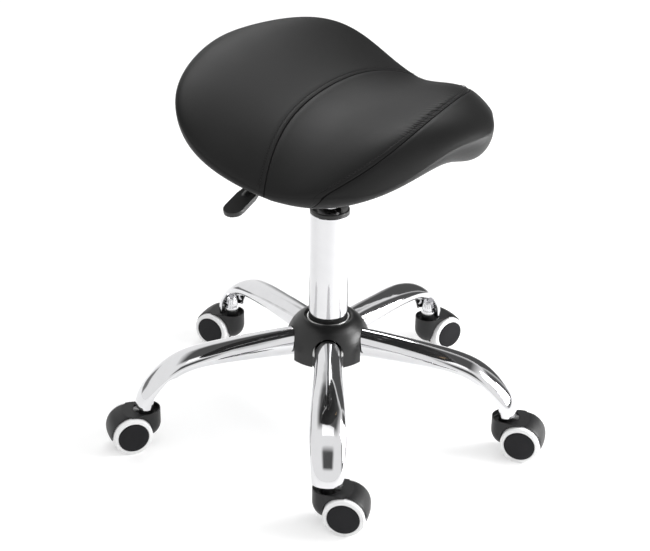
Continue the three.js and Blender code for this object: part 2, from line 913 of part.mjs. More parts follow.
function leverSlot() {
  const halfSlot = lever.diameter / 2 + mechanism.leverSlotGap;
  const end = -mechanism.channelLength / 2;
  const lift = (-end - lever.pivotDistance) * Math.sin(lever.travel * degree);
  return solidOf(boxBetween(
    [end - overrun, -halfSlot, leverHeight - halfSlot],
    [end + mechanism.wall + overrun, halfSlot, leverHeight + halfSlot + lift],
  ));
}

const paddleStart = new THREE.Vector3(-lever.paddleStart, lever.paddleOffset, leverHeight + lever.rise);
const paddleAlong = new THREE.Vector3(
  -Math.cos(lever.paddleYaw * degree) * Math.cos(lever.paddleDroop * degree),
  Math.sin(lever.paddleYaw * degree) * Math.cos(lever.paddleDroop * degree),
  -Math.sin(lever.paddleDroop * degree),
);

function leverRodGeometry() {
  const route = new THREE.CatmullRomCurve3([
    new THREE.Vector3(lever.innerReach, 0, leverHeight),
    new THREE.Vector3(-lever.pivotDistance, 0, leverHeight),
    new THREE.Vector3(-lever.straightEnd, 0, leverHeight),
    paddleStart.clone().addScaledVector(paddleAlong, -lever.paddleWidth),
    paddleStart.clone().addScaledVector(paddleAlong, -lever.paddleWidth / 2),
    paddleStart.clone().addScaledVector(paddleAlong, lever.grip / 2),
    paddleStart.clone().addScaledVector(paddleAlong, lever.grip - clearance),
  ], false, 'centripetal');
  const section = new THREE.Shape(arcPoints([0, 0], lever.diameter / 2, 0, 315, 7)
    .map(([x, y]) => new THREE.Vector2(x, y)));
  const bar = new THREE.ExtrudeGeometry(section, { steps: 16, extrudePath: route });
  const onPivot = (radius, width, segments) => {
    const geometry = cylinderBetween(radius, -width / 2, width / 2, segments);
    geometry.rotateX(90 * degree);
    geometry.translate(-lever.pivotDistance, 0, leverHeight);
    return solidOf(geometry);
  };
  return geometryOf(solidOf(bar)
    .add(onPivot(lever.eyeDiameter / 2, lever.eyeWidth, sides.small))
    .subtract(onPivot(lever.pivotPinDiameter / 2 + clearance, lever.eyeWidth + overrun, sides.small)));
}

function pivotPinGeometry() {
  const reach = mechanism.channelWidth / 2 + clearance;
  const geometry = cylinderBetween(lever.pivotPinDiameter / 2, -reach, reach, sides.small);
  geometry.rotateX(90 * degree);
  geometry.translate(-lever.pivotDistance, 0, leverHeight);
  return geometry;
}

function paddleGeometry() {
  const radius = lever.paddleWidth / 2 - lever.paddleEdge;
  const rootHalf = radius * lever.paddleRootShare;
  const straight = lever.paddleLength - radius - lever.paddleEdge;
  const shape = new THREE.Shape([
    [0, -rootHalf],
    [straight * lever.paddleWaistShare, -radius],
    ...arcPoints([straight, 0], radius, -90, 90, 8),
    [straight * lever.paddleWaistShare, radius],
    [0, rootHalf],
  ].map(([x, y]) => new THREE.Vector2(x, y)));
  const blade = new THREE.ExtrudeGeometry(shape, {
    depth: lever.paddleThickness - 2 * lever.paddleEdge,
    bevelEnabled: true,
    bevelSize: lever.paddleEdge,
    bevelThickness: lever.paddleEdge,
    bevelSegments: 2,
  });
  blade.translate(0, 0, lever.paddleEdge - lever.paddleThickness / 2);
  const neck = cylinderBetween(lever.diameter / 2 + lever.paddleEdge, -lever.paddleEdge, lever.grip, sides.small);
  neck.rotateY(90 * degree);
  const bore = cylinderBetween(lever.diameter / 2 + clearance, -overrun, lever.grip, sides.small);
  bore.rotateY(90 * degree);
  const geometry = geometryOf(solidOf(blade).add(solidOf(neck)).subtract(solidOf(bore)));
  geometry.applyQuaternion(new THREE.Quaternion().setFromRotationMatrix(paddleFrame()));
  geometry.translate(...paddleStart.toArray());
  return geometry;
}

function paddleFrame() {
  const up = new THREE.Vector3(0, 0, 1);
  const across = up.clone().cross(paddleAlong).normalize();
  return new THREE.Matrix4().makeBasis(paddleAlong, across, paddleAlong.clone().cross(across));
}

function boltGeometry() {
  const head = plateBottom - clearance;
  return solidOf(cylinderBetween(bolt.headAcross / 2, head - bolt.headThickness, head, 6))
    .add(solidOf(cylinderBetween(bolt.diameter / 2, head - bolt.headThickness / 2, panBottom + bolt.grip, sides.small)));
}

function mechanismPieces() {
  const group = new THREE.Group();
  group.add(piece('seat_mechanism', mechanismGeometry(), blackSteel()));
  group.add(piece('lever_rod', leverRodGeometry(), zincSteel()));
  group.add(piece('lever_pivot_pin', pivotPinGeometry(), zincSteel()));
  group.add(piece('lever_paddle', paddleGeometry(), blackPlastic()));
  boltPlaces.forEach(([x, y], index) => {
    const mesh = piece(`seat_bolt_${index + 1}`, geometryOf(boltGeometry()), zincSteel());
    mesh.position.set(x, y, 0);
    group.add(mesh);
  });
  return group;
}

// Saddle surfaces.

function series(shares, turn) {
  return shares.reduce((sum, share, k) => sum + share * Math.cos(k * turn), 0);
}

function powers(shares, value) {
  return shares.reduce((sum, share, k) => sum + share * value ** k, 0);
}

function noseBell(side, turn) {
  return Math.cos(turn) > 0 ? Math.exp(-((side / (saddle.noseWidth / 2)) ** 2)) : 0;
}

function outline(turn) {
  const side = Math.sin(turn) * (saddle.width / 2) * series(saddle.planShares, turn);
  const forward = (saddle.length / 2) * Math.cos(turn) + saddle.noseReach * noseBell(side, turn);
  return { forward, side };
}

function crownHeight(forward, side) {
  const way = forward / (saddle.length / 2);
  const droop = saddle.sideDroop * powers(saddle.droopShares, way)
    * (Math.abs(side) / (saddle.width / 2)) ** saddle.droopPower;
  return panBottom + saddle.foamHeight + saddle.rearRise * powers(saddle.crownShares, way) - droop;
}

function rimHeight(turn) {
  const { side } = outline(turn);
  return panBottom + saddle.rimRise * series(saddle.rimShares, turn) - saddle.noseDrop * noseBell(side, turn);
}

function saddlePoint(forward, side, height) {
  return new THREE.Vector3(side, -forward - saddle.forward, height);
}

// The top at a share of the way from the middle to the edge: the crown less its fall to the edge.
function topPoint(share, turn) {
  const edge = outline(turn);
  const [forward, side] = [edge.forward * share, edge.side * share];
  const depth = (1 - saddle.equatorShare) * (crownHeight(edge.forward, edge.side) - rimHeight(turn));
  const fall = depth * (1 - Math.sqrt(Math.max(0, 1 - share ** saddle.edgeFullness)));
  return saddlePoint(forward, side, crownHeight(forward, side) - fall);
}

// The roll below the edge: a quarter oval from the widest point in to the rim.
function rollPoint(share, turn) {
  const edge = outline(turn);
  const angle = 90 * degree * share;
  const inward = 1 - (1 - saddle.rimShare) * (1 - Math.cos(angle));
  const rim = rimHeight(turn);
  const depth = saddle.equatorShare * (crownHeight(edge.forward, edge.side) - rim);
  return saddlePoint(edge.forward * inward, edge.side * inward, rim + depth * (1 - Math.sin(angle)));
}

// The underside is flat in the middle, for the mechanism, and rises to the rim.
function underPoint(share, turn, lift) {
  const edge = outline(turn);
  const way = Math.max(0, (share - saddle.flatShare) / (saddle.rimShare - saddle.flatShare));
  const height = panBottom + (rimHeight(turn) - panBottom) * way * way * (3 - 2 * way);
  return saddlePoint(edge.forward * share, edge.side * share, height + lift);
}

function ringAt(pointAt) {
  return Array.from({ length: saddle.turnSteps }, (unused, k) => pointAt((360 / saddle.turnSteps) * k * degree));
}

const topShares = [0.3, 0.55, 0.74, 0.88, 0.96, 1];
const rollShares = [0.4, 0.75, 1];
const panShares = [saddle.panShare, 0.7, 0.6, saddle.flatShare];

function cushionGeometry() {
  const ceiling = saddle.panThickness + clearance;
  const body = solidOf(loft([
    [topPoint(0, 0)],
    ...topShares.map((share) => ringAt((turn) => topPoint(share, turn))),
    ...rollShares.map((share) => ringAt((turn) => rollPoint(share, turn))),
    ringAt((turn) => underPoint(saddle.lipShare, turn, 0)),
    ringAt((turn) => underPoint(saddle.lipShare, turn, ceiling)),
    ...panShares.map((share) => ringAt((turn) => underPoint(share, turn, ceiling))),
    [underPoint(0, 0, ceiling)],
  ]));
  return geometryOf(body.subtract(seamChannel(rearSeam)).subtract(seamChannel(frontSeam)));
}

// Where a point of the top lies, as its turn and its share of the way out.
function placeOnTop(forward, side) {
  const wanted = Math.atan2(Math.abs(side), forward);
  let [low, high] = [0, 180 * degree];
  for (let i = 0; i < 40; i += 1) {
    const middle = (low + high) / 2;
    const edge = outline(middle);
    if (Math.atan2(edge.side, edge.forward) < wanted) low = middle;
    else high = middle;
  }
  const edge = outline(low);
  const share = Math.min(1, Math.hypot(forward, side) / Math.hypot(edge.forward, edge.side));
  return { share, turn: side < 0 ? -low : low };
}

function seamPoints(seam) {
  const end = outline(seam.turn * degree);
  const across = [];
  for (let k = -10; k <= 10; k += 1) {
    const way = k / 10;
    const forward = end.forward + (seam.middle - end.forward) * (1 - Math.abs(way) ** seam.power);
    const { share, turn } = placeOnTop(forward, end.side * way);
    across.push(topPoint(share, turn));
  }
  const rolled = (side) => rollShares.map((share) => rollPoint(share, side * seam.turn * degree));
  return [...rolled(-1).reverse(), ...across, ...rolled(1)];
}

function seamChannel(seam) {
  const route = new THREE.CatmullRomCurve3(seamPoints(seam), false, 'centripetal');
  const section = new THREE.Shape(arcPoints([0, 0], saddle.seamRadius, 0, 270, 3)
    .map(([x, y]) => new THREE.Vector2(x, y)));
  return solidOf(new THREE.ExtrudeGeometry(section, { steps: 28, extrudePath: route }));
}

function panGeometry() {
  let body = solidOf(loft([
    [underPoint(0, 0, 0)],
    ...[...panShares].reverse().map((share) => ringAt((turn) => underPoint(share, turn, 0))),
    ...panShares.map((share) => ringAt((turn) => underPoint(share, turn, saddle.panThickness))),
    [underPoint(0, 0, saddle.panThickness)],
  ]));
  for (const [x, y] of boltPlaces) {
    const hole = cylinderBetween(
      bolt.diameter / 2 + clearance,
      panBottom - overrun,
      panBottom + bolt.grip + clearance,
      sides.small,
    );
    hole.translate(x, y, 0);
    body = body.subtract(solidOf(hole));
  }
  return geometryOf(body);
}

function seatPieces() {
  const group = new THREE.Group();
  group.add(piece('seat_pan', panGeometry(), plywood()));
  group.add(piece('cushion', cushionGeometry(), blackLeather()));
  return group;
}

// The stool stands on the floor with the middle of its footprint at the origin.

const stool = new THREE.Group();
stool.add(casters(), legs(), hubPieces(), columnPieces(), mechanismPieces(), seatPieces());
stool.updateMatrixWorld(true);
const extent = new THREE.Box3().setFromObject(stool, true);
const middle = extent.getCenter(new THREE.Vector3());
stool.position.set(-middle.x, -middle.y, -extent.min.z);

export default stool;
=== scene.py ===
# %% [markdown]
# A saddle stool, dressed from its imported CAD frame.
# The frame gives every piece its place and its motion. Here the pieces that show get their real
# surfaces: bent chrome legs, moulded caster hoods, a domed hub cover and a sewn saddle.
# Everything is in metres, with +Z up, and the sitter faces -Y.

# %% Load the frame
import math
import bpy
import numpy as np
from mathutils import Matrix, Vector


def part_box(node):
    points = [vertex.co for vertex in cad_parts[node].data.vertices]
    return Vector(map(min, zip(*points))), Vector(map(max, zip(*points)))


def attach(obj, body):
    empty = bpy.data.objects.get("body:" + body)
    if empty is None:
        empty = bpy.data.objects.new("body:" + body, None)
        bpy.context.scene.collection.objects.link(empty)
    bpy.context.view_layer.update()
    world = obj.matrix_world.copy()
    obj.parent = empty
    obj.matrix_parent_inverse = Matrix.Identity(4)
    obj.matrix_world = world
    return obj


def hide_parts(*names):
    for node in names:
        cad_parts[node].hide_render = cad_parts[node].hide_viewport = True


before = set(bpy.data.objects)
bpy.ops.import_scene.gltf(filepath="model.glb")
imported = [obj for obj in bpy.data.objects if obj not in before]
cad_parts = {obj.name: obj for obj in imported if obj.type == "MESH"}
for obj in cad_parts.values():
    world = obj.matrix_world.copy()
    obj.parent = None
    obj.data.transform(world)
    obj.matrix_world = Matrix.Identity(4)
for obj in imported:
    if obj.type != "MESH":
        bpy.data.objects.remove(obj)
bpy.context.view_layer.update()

# %% [markdown]
# Lengths are written in millimetres and scaled by mm. The origin is under the middle of the whole
# stool, so the pieces are laid out round `column_foot`, where the column's axis meets the floor.

# %% Find the column
mm = 0.001
degree = math.pi / 180


def middle_of(node):
    low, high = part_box(node)
    return (low + high) / 2


column_top = 296
tube_middle = middle_of("column_tube")
column_foot = Vector((tube_middle.x, tube_middle.y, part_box("column_tube")[1].z - column_top * mm))


def height_of(place):
    """A height over the column's foot, in millimetres."""
    return (place.z - column_foot.z) / mm


print("column stands at", [round(v, 5) for v in column_foot])

# %% [markdown]
# The camera stands where the photographer stood: a little above the seat, looking down at the
# stool from its front right. The lens is a short telephoto, which keeps the legs' lengths alike.

# %% Place the camera
camera_way = 64.32 * degree
camera_tilt = 26.10 * degree
camera_pan = -0.17 * degree
camera_roll = 0.87 * degree
camera_distance = 1615.5 * mm
camera_height = 999.2 * mm
focal_length = 78.49
film_width = 36
far_limit = 50


def new_object(name, data):
    piece = bpy.data.objects.new(name, data)
    bpy.context.scene.collection.objects.link(piece)
    return piece


def turn_by(angle, axis="Z"):
    return Matrix.Rotation(angle, 4, axis)


lens = bpy.data.cameras.new("photo_camera")
lens.sensor_fit = "HORIZONTAL"
lens.sensor_width = film_width
lens.lens = focal_length
lens.clip_end = far_limit
camera = new_object("photo_camera", lens)
stand = column_foot + turn_by(-camera_way) @ Vector((0, -camera_distance, camera_height))
camera.matrix_world = (Matrix.Translation(stand) @ turn_by(-camera_way - camera_pan)
                       @ turn_by(90 * degree - camera_tilt, "X") @ turn_by(camera_roll))
bpy.context.scene.camera = camera
print("camera at", [round(v, 3) for v in stand])

# %% [markdown]
# Shader maths reads best as sums. `Flow` wraps a socket so that a sum of flows adds the Math nodes
# that it needs. `Wiring` adds any kind of node to a tree, and `Finish` is the wiring of a material.

# %% Write shader maths as sums


def joined_by(operation):
    """What a sign does between two flows: it adds a Math node to their tree."""
    return lambda flow, other: flow.wiring.math(operation, flow, other)


class Flow:
    """One value that flows through a node tree."""

    __add__ = __radd__ = joined_by("ADD")
    __mul__ = __rmul__ = joined_by("MULTIPLY")
    __sub__ = joined_by("SUBTRACT")
    __truediv__ = joined_by("DIVIDE")

    def __init__(self, wiring, socket):
        self.wiring = wiring
        self.socket = socket

    def __rsub__(self, other):
        return self.wiring.math("SUBTRACT", other, self)


class Wiring:
    """The nodes of one tree, in a material or in the world."""

    def __init__(self, tree):
        self.tree = tree

    def add(self, kind, settings=None, out=0, inputs=(), **sockets):
        """Adds a node, fed in the order of its sockets by inputs and by name by the rest."""
        node = self.tree.nodes.new(kind)
        for name, value in (settings or {}).items():
            setattr(node, name, value)
        for socket, value in zip(node.inputs, inputs):
            self.feed(socket, value)
        self.feed_all(node, sockets)
        return Flow(self, node.outputs[out])

    def feed_all(self, node, sockets):
        for name, value in sockets.items():
            self.feed(node.inputs[name.replace("_", " ")], value)

    def feed(self, socket, value):
        if isinstance(value, Flow):
            self.tree.links.new(value.socket, socket)
        else:
            socket.default_value = value

    def math(self, operation, *values):
        return self.add("ShaderNodeMath", {"operation": operation}, inputs=values)

    def clamp(self, value, low=0, high=1):
        return self.math("MINIMUM", self.math("MAXIMUM", value, low), high)

    def seen(self):
        """1 for a ray from the camera, or by way of a mirror or glass, and 0 for soft light."""
        rays = self.tree.nodes.new("ShaderNodeLightPath").outputs
        camera_ray, glossy, through_glass = (
            Flow(self, rays[f"Is {kind} Ray"]) for kind in ("Camera", "Glossy", "Transmission"))
        return self.math("MAXIMUM", camera_ray, self.math("MAXIMUM", glossy, through_glass))


class Finish(Wiring):
    """A material, its main shader and the nodes that feed it."""

    def __init__(self, name, **fixed):
        self.material = bpy.data.materials.new(name)
        self.material.use_nodes = True
        super().__init__(self.material.node_tree)
        self.shader = self.tree.nodes["Principled BSDF"]
        self.place = self.add("ShaderNodeTexCoord", out="Object")
        self.feed_all(self.shader, fixed)

    def noise(self, size, detail=2.0, roughness=0.5, vector=None):
        return self.add("ShaderNodeTexNoise", Vector=vector or self.place, Scale=1 / (size * mm),
                        Detail=detail, Roughness=roughness)

    def mix(self, share, first, second):
        node = self.tree.nodes.new("ShaderNodeMix")
        node.data_type = "RGBA"
        self.feed(node.inputs[0], share)
        self.feed(node.inputs[6], first)
        self.feed(node.inputs[7], second)
        return Flow(self, node.outputs[2])

    def bump(self, height, depth, strength=1.0):
        return self.add("ShaderNodeBump", Strength=strength, Distance=depth * mm, Height=height)

    def surface(self, **sockets):
        self.feed_all(self.shader, sockets)
        return self.material


def grey(value, blue=0.0):
    return (value, value, value + blue, 1)


# %% [markdown]
# Chrome plating over bent tube is nearly a mirror. What tells it from a computer's mirror is how
# the tube under it ripples by a few hundredths of a millimetre, and a faint haze where it is wiped.

# %% Chrome finishes


def chrome_finish(name, ripple, haze, shine):
    finish = Finish(name, Metallic=1.0)
    wiped = finish.noise(18, 3.0, 0.6)
    speckle = finish.noise(0.7, 1.0)
    blue_cast = 0.012
    return finish.surface(
        Base_Color=finish.mix(wiped, grey(shine - 0.06, blue_cast), grey(shine, blue_cast)),
        Roughness=haze + wiped * 0.035 + speckle * 0.01,
        Normal=finish.bump(finish.noise(26, 1.0, 0.3), ripple),
    )


leg_chrome = chrome_finish("leg_chrome", 0.35, 0.045, 0.76)
tube_chrome = chrome_finish("tube_chrome", 0.05, 0.03, 0.74)
print("chrome finishes ready")

# %% [markdown]
# Zinc plating is duller and slightly mottled, and the black parts of the mechanism are powder
# coated, which dries with the fine waves of orange peel. These and the soft stuffs have one recipe:
# tone and gloss drift together in patches, over a finer grain that only tilts the light.

# %% Zinc, powder coat, bare tube and painted shade


def mottled_finish(name, tones, patch, gloss, grain, depth, **fixed):
    """Patch and grain: size in mm, detail, roughness. Without grain the patches are raised."""
    finish = Finish(name, **fixed)
    patches = finish.noise(*patch)
    least, spread = gloss
    return finish.surface(
        Base_Color=finish.mix(patches, *tones),
        Roughness=least + patches * spread,
        Normal=finish.bump(finish.noise(*grain) if grain else patches, depth),
    )


zinc = mottled_finish("zinc_plate", (grey(0.50, 0.02), (0.66, 0.66, 0.63, 1)), (3, 4.0, 0.6),
                      (0.28, 0.16), (0.5, 2.0), 0.03, Metallic=1.0)
powder_coat = mottled_finish("powder_coat", (grey(0.012), grey(0.020)), (20, 3.0),
                             (0.36, 0.12), (1.1, 2.0), 0.06)
# The dark tube finish is the column's bare foot, and painted shade on the legs' roots.
bare_tube_and_painted_shade = mottled_finish("bare_tube_and_painted_shade", (grey(0.02), grey(0.045)), (9, 3.0),
                                (0.3, 0.2), (0.8,), 0.02, Metallic=0.7)
print("steels ready")

# %% [markdown]
# The plastics come from moulds. The hub cover's mould was nearly polished, the hoods' and the
# wheel discs' moulds were etched to a fine even grain, and the treads are smooth and pale.

# %% Moulded plastics


def moulded_finish(name, dark, light, gloss, grain, depth, sheen):
    finish = Finish(name, Specular_IOR_Level=sheen)
    flow = finish.noise(14)
    etched = finish.noise(grain, roughness=0.6)
    rubbed = finish.noise(4, 3.0, 0.6)
    return finish.surface(
        Base_Color=finish.mix(flow, dark, light),
        Roughness=gloss + rubbed * 0.08,
        Normal=finish.bump(etched, depth),
    )


hub_plastic = moulded_finish("hub_plastic", grey(0.004), grey(0.008), 0.30, 0.5, 0.012, 0.5)
hood_plastic = moulded_finish("hood_plastic", grey(0.006), grey(0.010, 0.001), 0.40, 0.45, 0.05,
                              0.38)
disc_plastic = moulded_finish("disc_plastic", grey(0.005, 0.001), grey(0.009, 0.002), 0.44, 0.4,
                              0.04, 0.2)
tread_soft = moulded_finish("tread_soft", grey(0.86), grey(0.92), 0.38, 0.6, 0.02, 0.4)
paddle_plastic = moulded_finish("paddle_plastic", grey(0.013), grey(0.019), 0.36, 0.5, 0.04, 0.5)
print("plastics ready")

# %% [markdown]
# The pan is moulded plywood: thin veneers with long grain, so the noise is stretched along one
# axis. The buffer is plain rubber with a dusty bloom.

# %% Plywood and rubber
plywood = Finish("pan_plywood")
along_grain = plywood.add("ShaderNodeMapping", Vector=plywood.place, Scale=(1.0, 0.08, 1.0))
grain = plywood.noise(2.2, 5.0, 0.65, along_grain)
flame = plywood.noise(30, 2.0, 0.5, along_grain)
dark_veneer, pale_veneer = (0.30, 0.19, 0.10, 1), (0.52, 0.36, 0.20, 1)
pan_plywood = plywood.surface(
    Base_Color=plywood.mix(grain * 0.7 + flame * 0.3, dark_veneer, pale_veneer),
    Roughness=0.55 + grain * 0.2,
    Normal=plywood.bump(grain, 0.08),
)
buffer_rubber = mottled_finish("buffer_rubber", (grey(0.012), grey(0.028)), (2.5, 4.0),
                               (0.7, 0.15), None, 0.05)
print("plywood and rubber ready")

# %% [markdown]
# Nodes whose CAD shape is already right keep it, and only change their finish.

# %% Give the carried-over nodes their finish


def dress(material, *nodes):
    for node in nodes:
        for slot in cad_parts[node].material_slots:
            slot.material = material


numbers = range(1, 6)
dress(zinc, "thrust_bearing", "piston_rod", "release_pin", "lever_pivot_pin")
dress(zinc, *[f"seat_bolt_{n}" for n in range(1, 5)])
dress(zinc, *[f"caster_{n}_{part}" for part in ("stem", "axle") for n in numbers])
dress(powder_coat, "seat_mechanism", "retaining_clip")
dress(buffer_rubber, "rubber_buffer")
dress(pan_plywood, "seat_pan")
print("dressed the carried-over nodes")

# %% [markdown]
# Most of the stool is turned or pressed. A turned piece starts as one point: a small plane merged
# to its middle. The point is extruded along the profile, and the profile is spun round its axis.

# %% Helpers for modelling by hand


def select_only(piece):
    bpy.ops.object.select_all(action="DESELECT")
    piece.select_set(True)
    bpy.context.view_layer.objects.active = piece


def facing(*axes):
    """The turn that lays X, Y and Z along three axes."""
    return Matrix(axes).transposed().to_4x4()


def edit_all():
    bpy.ops.object.mode_set(mode="EDIT")
    bpy.ops.mesh.select_all(action="SELECT")


def start_with(name, add_shape, **settings):
    """Adds one of Blender's own shapes and names it."""
    bpy.ops.object.select_all(action="DESELECT")
    add_shape(**settings)
    piece = bpy.context.object
    piece.name = name
    return piece


def draw_profile(name, points):
    """A chain of edges through points in metres, left in edit mode, its last point selected."""
    piece = start_with(name, bpy.ops.mesh.primitive_plane_add, size=mm, location=points[0])
    edit_all()
    bpy.ops.mesh.merge(type="CENTER")
    for start, end in zip(points, points[1:]):
        bpy.ops.mesh.extrude_region_move(TRANSFORM_OT_translate={"value": end - start})
    return piece


def weld():
    bpy.ops.mesh.select_all(action="SELECT")
    bpy.ops.mesh.remove_doubles(threshold=0.002 * mm)


def settle(piece):
    """Puts the object at the origin, unturned, with its place in its mesh."""
    select_only(piece)
    bpy.ops.object.transform_apply(location=True, rotation=True, scale=True)


def close_up(piece):
    """Welds the mesh, turns its faces outwards and leaves edit mode."""
    weld()
    bpy.ops.mesh.normals_make_consistent(inside=False)
    bpy.ops.object.mode_set(mode="OBJECT")
    settle(piece)
    return piece


def apply_modifier(piece, kind, **settings):
    select_only(piece)
    modifier = piece.modifiers.new(kind.lower(), kind)
    for name, value in settings.items():
        setattr(modifier, name, value)
    bpy.ops.object.modifier_apply(modifier=modifier.name)


def smooth(piece, sharpest=35):
    select_only(piece)
    bpy.ops.object.shade_smooth_by_angle(angle=sharpest * degree)


def soften_edges(piece, width, segments=3, angle=30):
    apply_modifier(piece, "BEVEL", width=width, segments=segments, limit_method="ANGLE",
                   angle_limit=angle * degree, use_clamp_overlap=True)


def report(piece):
    print(piece.name, "faces", len(piece.data.polygons))


def paint(piece, material, slot, body, *stands_for):
    piece.data.materials.clear()
    piece.data.materials.append(material)
    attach(piece, body)
    if stands_for:
        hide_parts(*stands_for)
    report(piece)


def blacken(piece, gets_dark_finish):
    """Dark finish on the picked faces: the column's bare foot, painted shade on leg roots."""
    piece.data.materials.append(bare_tube_and_painted_shade)
    for face in piece.data.polygons:
        face.material_index = int(gets_dark_finish(face.center))


def with_holding_rings(corners, hold=0.5, shortest=3.0):
    """Adds a point near both ends of each long side, to keep smooth shading near the corners."""
    held = [corners[0]]
    for start, end in zip(corners, corners[1:]):
        length = math.dist(start, end)
        if length > shortest:
            for share in (hold / length, 1 - hold / length):
                held.append(tuple(a + (b - a) * share for a, b in zip(start, end)))
        held.append(end)
    return held


def spun(name, profile, axis=column_foot, steps=96, closes=True):
    """Spins [radius, height] pairs, in millimetres, about an upright axis."""
    corners = with_holding_rings(list(profile) + [profile[0]] if closes else list(profile))
    points = [axis + Vector((radius * mm, 0, height * mm)) for radius, height in corners]
    piece = draw_profile(name, points)
    bpy.ops.mesh.select_all(action="SELECT")
    bpy.ops.mesh.spin(steps=steps, angle=math.tau, center=axis, axis=(0, 0, 1))
    return close_up(piece)


def turned(name, profile, steps=72, closes=False):
    """Spins a shape about the origin, to be carried to its place later."""
    return spun(name, profile, Vector(), steps, closes)


def arc(centre, radius, start, end, steps):
    angles = [(start + (end - start) * k / steps) * degree for k in range(steps + 1)]
    return [(centre[0] + radius * math.cos(angle), centre[1] + radius * math.sin(angle))
            for angle in angles]


print("helpers ready")

# %% [markdown]
# The column is a plated tube that stands in the hub. Its foot was never plated, so a black band
# shows between the chrome and the hub: the faces of the band get the blackened finish.

# %% Spin the column
tube_radius = 25
band_radius = tube_radius - 0.3
bore_radius = tube_radius - 1.7
tube_foot = 84
sleeve_foot = 101
plating_foot = 157.5
foot_hole = 5.3
column = spun("column_tube_plated", [
    (foot_hole, tube_foot), (24.1, tube_foot), (band_radius, sleeve_foot),
    (band_radius, plating_foot - 0.6), (tube_radius, plating_foot),
    (tube_radius, column_top - 0.6), (tube_radius - 0.6, column_top), (bore_radius, column_top),
    (bore_radius, tube_foot + 4), (foot_hole, tube_foot + 4),
], steps=128)
smooth(column, 30)
paint(column, tube_chrome, "chrome_tube", "base", "column_tube")
blacken(column, lambda place: height_of(place) < plating_foot - 0.2)

# %% [markdown]
# The hub's sleeve is a short thick tube that the legs are welded to. Only its top edge shows, as a
# bright ring inside the hub cover's lip.

# %% Spin the hub's sleeve
sleeve_radius = 27.7
sleeve_top = 151
sleeve = spun("hub_sleeve_turned", [
    (tube_radius, sleeve_foot), (sleeve_radius - 0.5, sleeve_foot),
    (sleeve_radius, sleeve_foot + 0.5), (sleeve_radius, sleeve_top - 0.6),
    (sleeve_radius - 0.6, sleeve_top), (tube_radius + 0.6, sleeve_top),
    (tube_radius, sleeve_top - 0.6),
])
smooth(sleeve, 30)
paint(sleeve, zinc, "zinc_steel", "base", "hub_sleeve")

# %% [markdown]
# The guide bush closes the tube's mouth. Its flange is as wide as the tube, with a rounded rim and
# a dished face round the gas cylinder.

# %% Spin the bush and the gas cylinder
bush_bore = 14.2
bush_radius = 23
bush_foot = 240
flange_seat = column_top + 0.3
flange_top = 301.5
dish_floor = 298
bush = spun("guide_bush_flange", [
    (bush_bore, bush_foot), (bush_radius, bush_foot), (bush_radius, flange_seat),
    (tube_radius - 0.4, flange_seat), (tube_radius, flange_seat + 0.4),
    (tube_radius, flange_top - 1.1), (tube_radius - 0.3, flange_top - 0.4), (24, flange_top),
    (22.8, flange_top), (22.2, flange_top - 0.3), (21.4, 299.9), (17.4, dish_floor + 0.3),
    (16.4, dish_floor), (bush_bore, dish_floor),
], steps=112)
smooth(bush, 40)
paint(bush, hub_plastic, "black_plastic", "base", "guide_bush")

cylinder_radius = 14
chamber_radius = cylinder_radius - 1.4
pin_hole = 3.3
taper_foot = 308
chamber_top = 340
cylinder_foot, cylinder_top = (height_of(place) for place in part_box("gas_cylinder"))
gas_cylinder = spun("gas_cylinder_plated", [
    (foot_hole, cylinder_foot), (cylinder_radius - 0.4, cylinder_foot),
    (cylinder_radius, cylinder_foot + 0.4), (cylinder_radius, taper_foot), (13.4, cylinder_top),
    (pin_hole, cylinder_top), (pin_hole, chamber_top), (chamber_radius, chamber_top),
    (chamber_radius, cylinder_foot + 8), (foot_hole, cylinder_foot + 8),
])
smooth(gas_cylinder, 50)
paint(gas_cylinder, tube_chrome, "chrome_tube", "seat", "gas_cylinder")

# %% [markdown]
# The hub cover is a dome of satin plastic with five arches for the legs. The dome is spun as a
# thin shell, each arch is cut with a slab of the arch's outline, and the cut edges are rounded.

# %% Spin the hub cover's dome
cover_radius = 54.3
cover_foot = 102
cover_top = 152.8
cover_shoulder = 118
cover_crest = 31
cover_lip = 28
cover_wall = 2.4
cover_fullness = 1.15


def dome(inset, steps=14):
    turns = [90 * degree * k / steps for k in range(steps + 1)]
    wide, tall = cover_radius - inset - cover_crest, cover_top - inset - cover_shoulder
    return [(cover_crest + wide * max(0.0, math.cos(turn)) ** cover_fullness,
             cover_shoulder + tall * math.sin(turn) ** cover_fullness) for turn in turns]


cover = spun("hub_cover_dome", [
    (cover_radius - 1.2, cover_foot), (cover_radius - 0.4, cover_foot + 0.4),
    (cover_radius, cover_foot + 1.4), *dome(0), (cover_lip + 2.3, cover_top - 0.5),
    (cover_lip + 1, cover_top - 1.7), (cover_lip + 0.2, cover_top - 2.8),
    (cover_lip, cover_top - 4.8), *reversed(dome(cover_wall)),
    (cover_radius - cover_wall, cover_foot),
], steps=120)

# %% Cut the five arches
stems = [middle_of(f"caster_{n}_stem") - column_foot for n in numbers]
leg_angles = [math.atan2(stem.y, stem.x) for stem in stems]


def slab(name, outline, axis, start, depth, foot=Vector()):
    """A closed slab: an outline square to axis 0, 1 or 2, filled at start and pushed by depth."""
    points = [foot + Vector([size * mm for size in (*pair[:axis], start, *pair[axis:])])
              for pair in outline]
    piece = draw_profile(name, points + points[:1])
    weld()
    bpy.ops.mesh.select_all(action="SELECT")
    bpy.ops.mesh.edge_face_add()
    push = Vector()
    push[axis] = depth * mm
    bpy.ops.mesh.extrude_region_move(TRANSFORM_OT_translate={"value": push})
    return close_up(piece)


def discard(piece):
    bpy.data.objects.remove(piece, do_unlink=True)


def cut(piece, tool, operation="DIFFERENCE"):
    apply_modifier(piece, "BOOLEAN", object=tool, operation=operation, solver="MANIFOLD")
    discard(tool)


def copy_to(piece, name, move):
    copy = new_object(name, piece.data.copy())
    copy.data.transform(move)
    return copy


def round_column(angle):
    return Matrix.Translation(column_foot) @ turn_by(angle) @ Matrix.Translation(-column_foot)


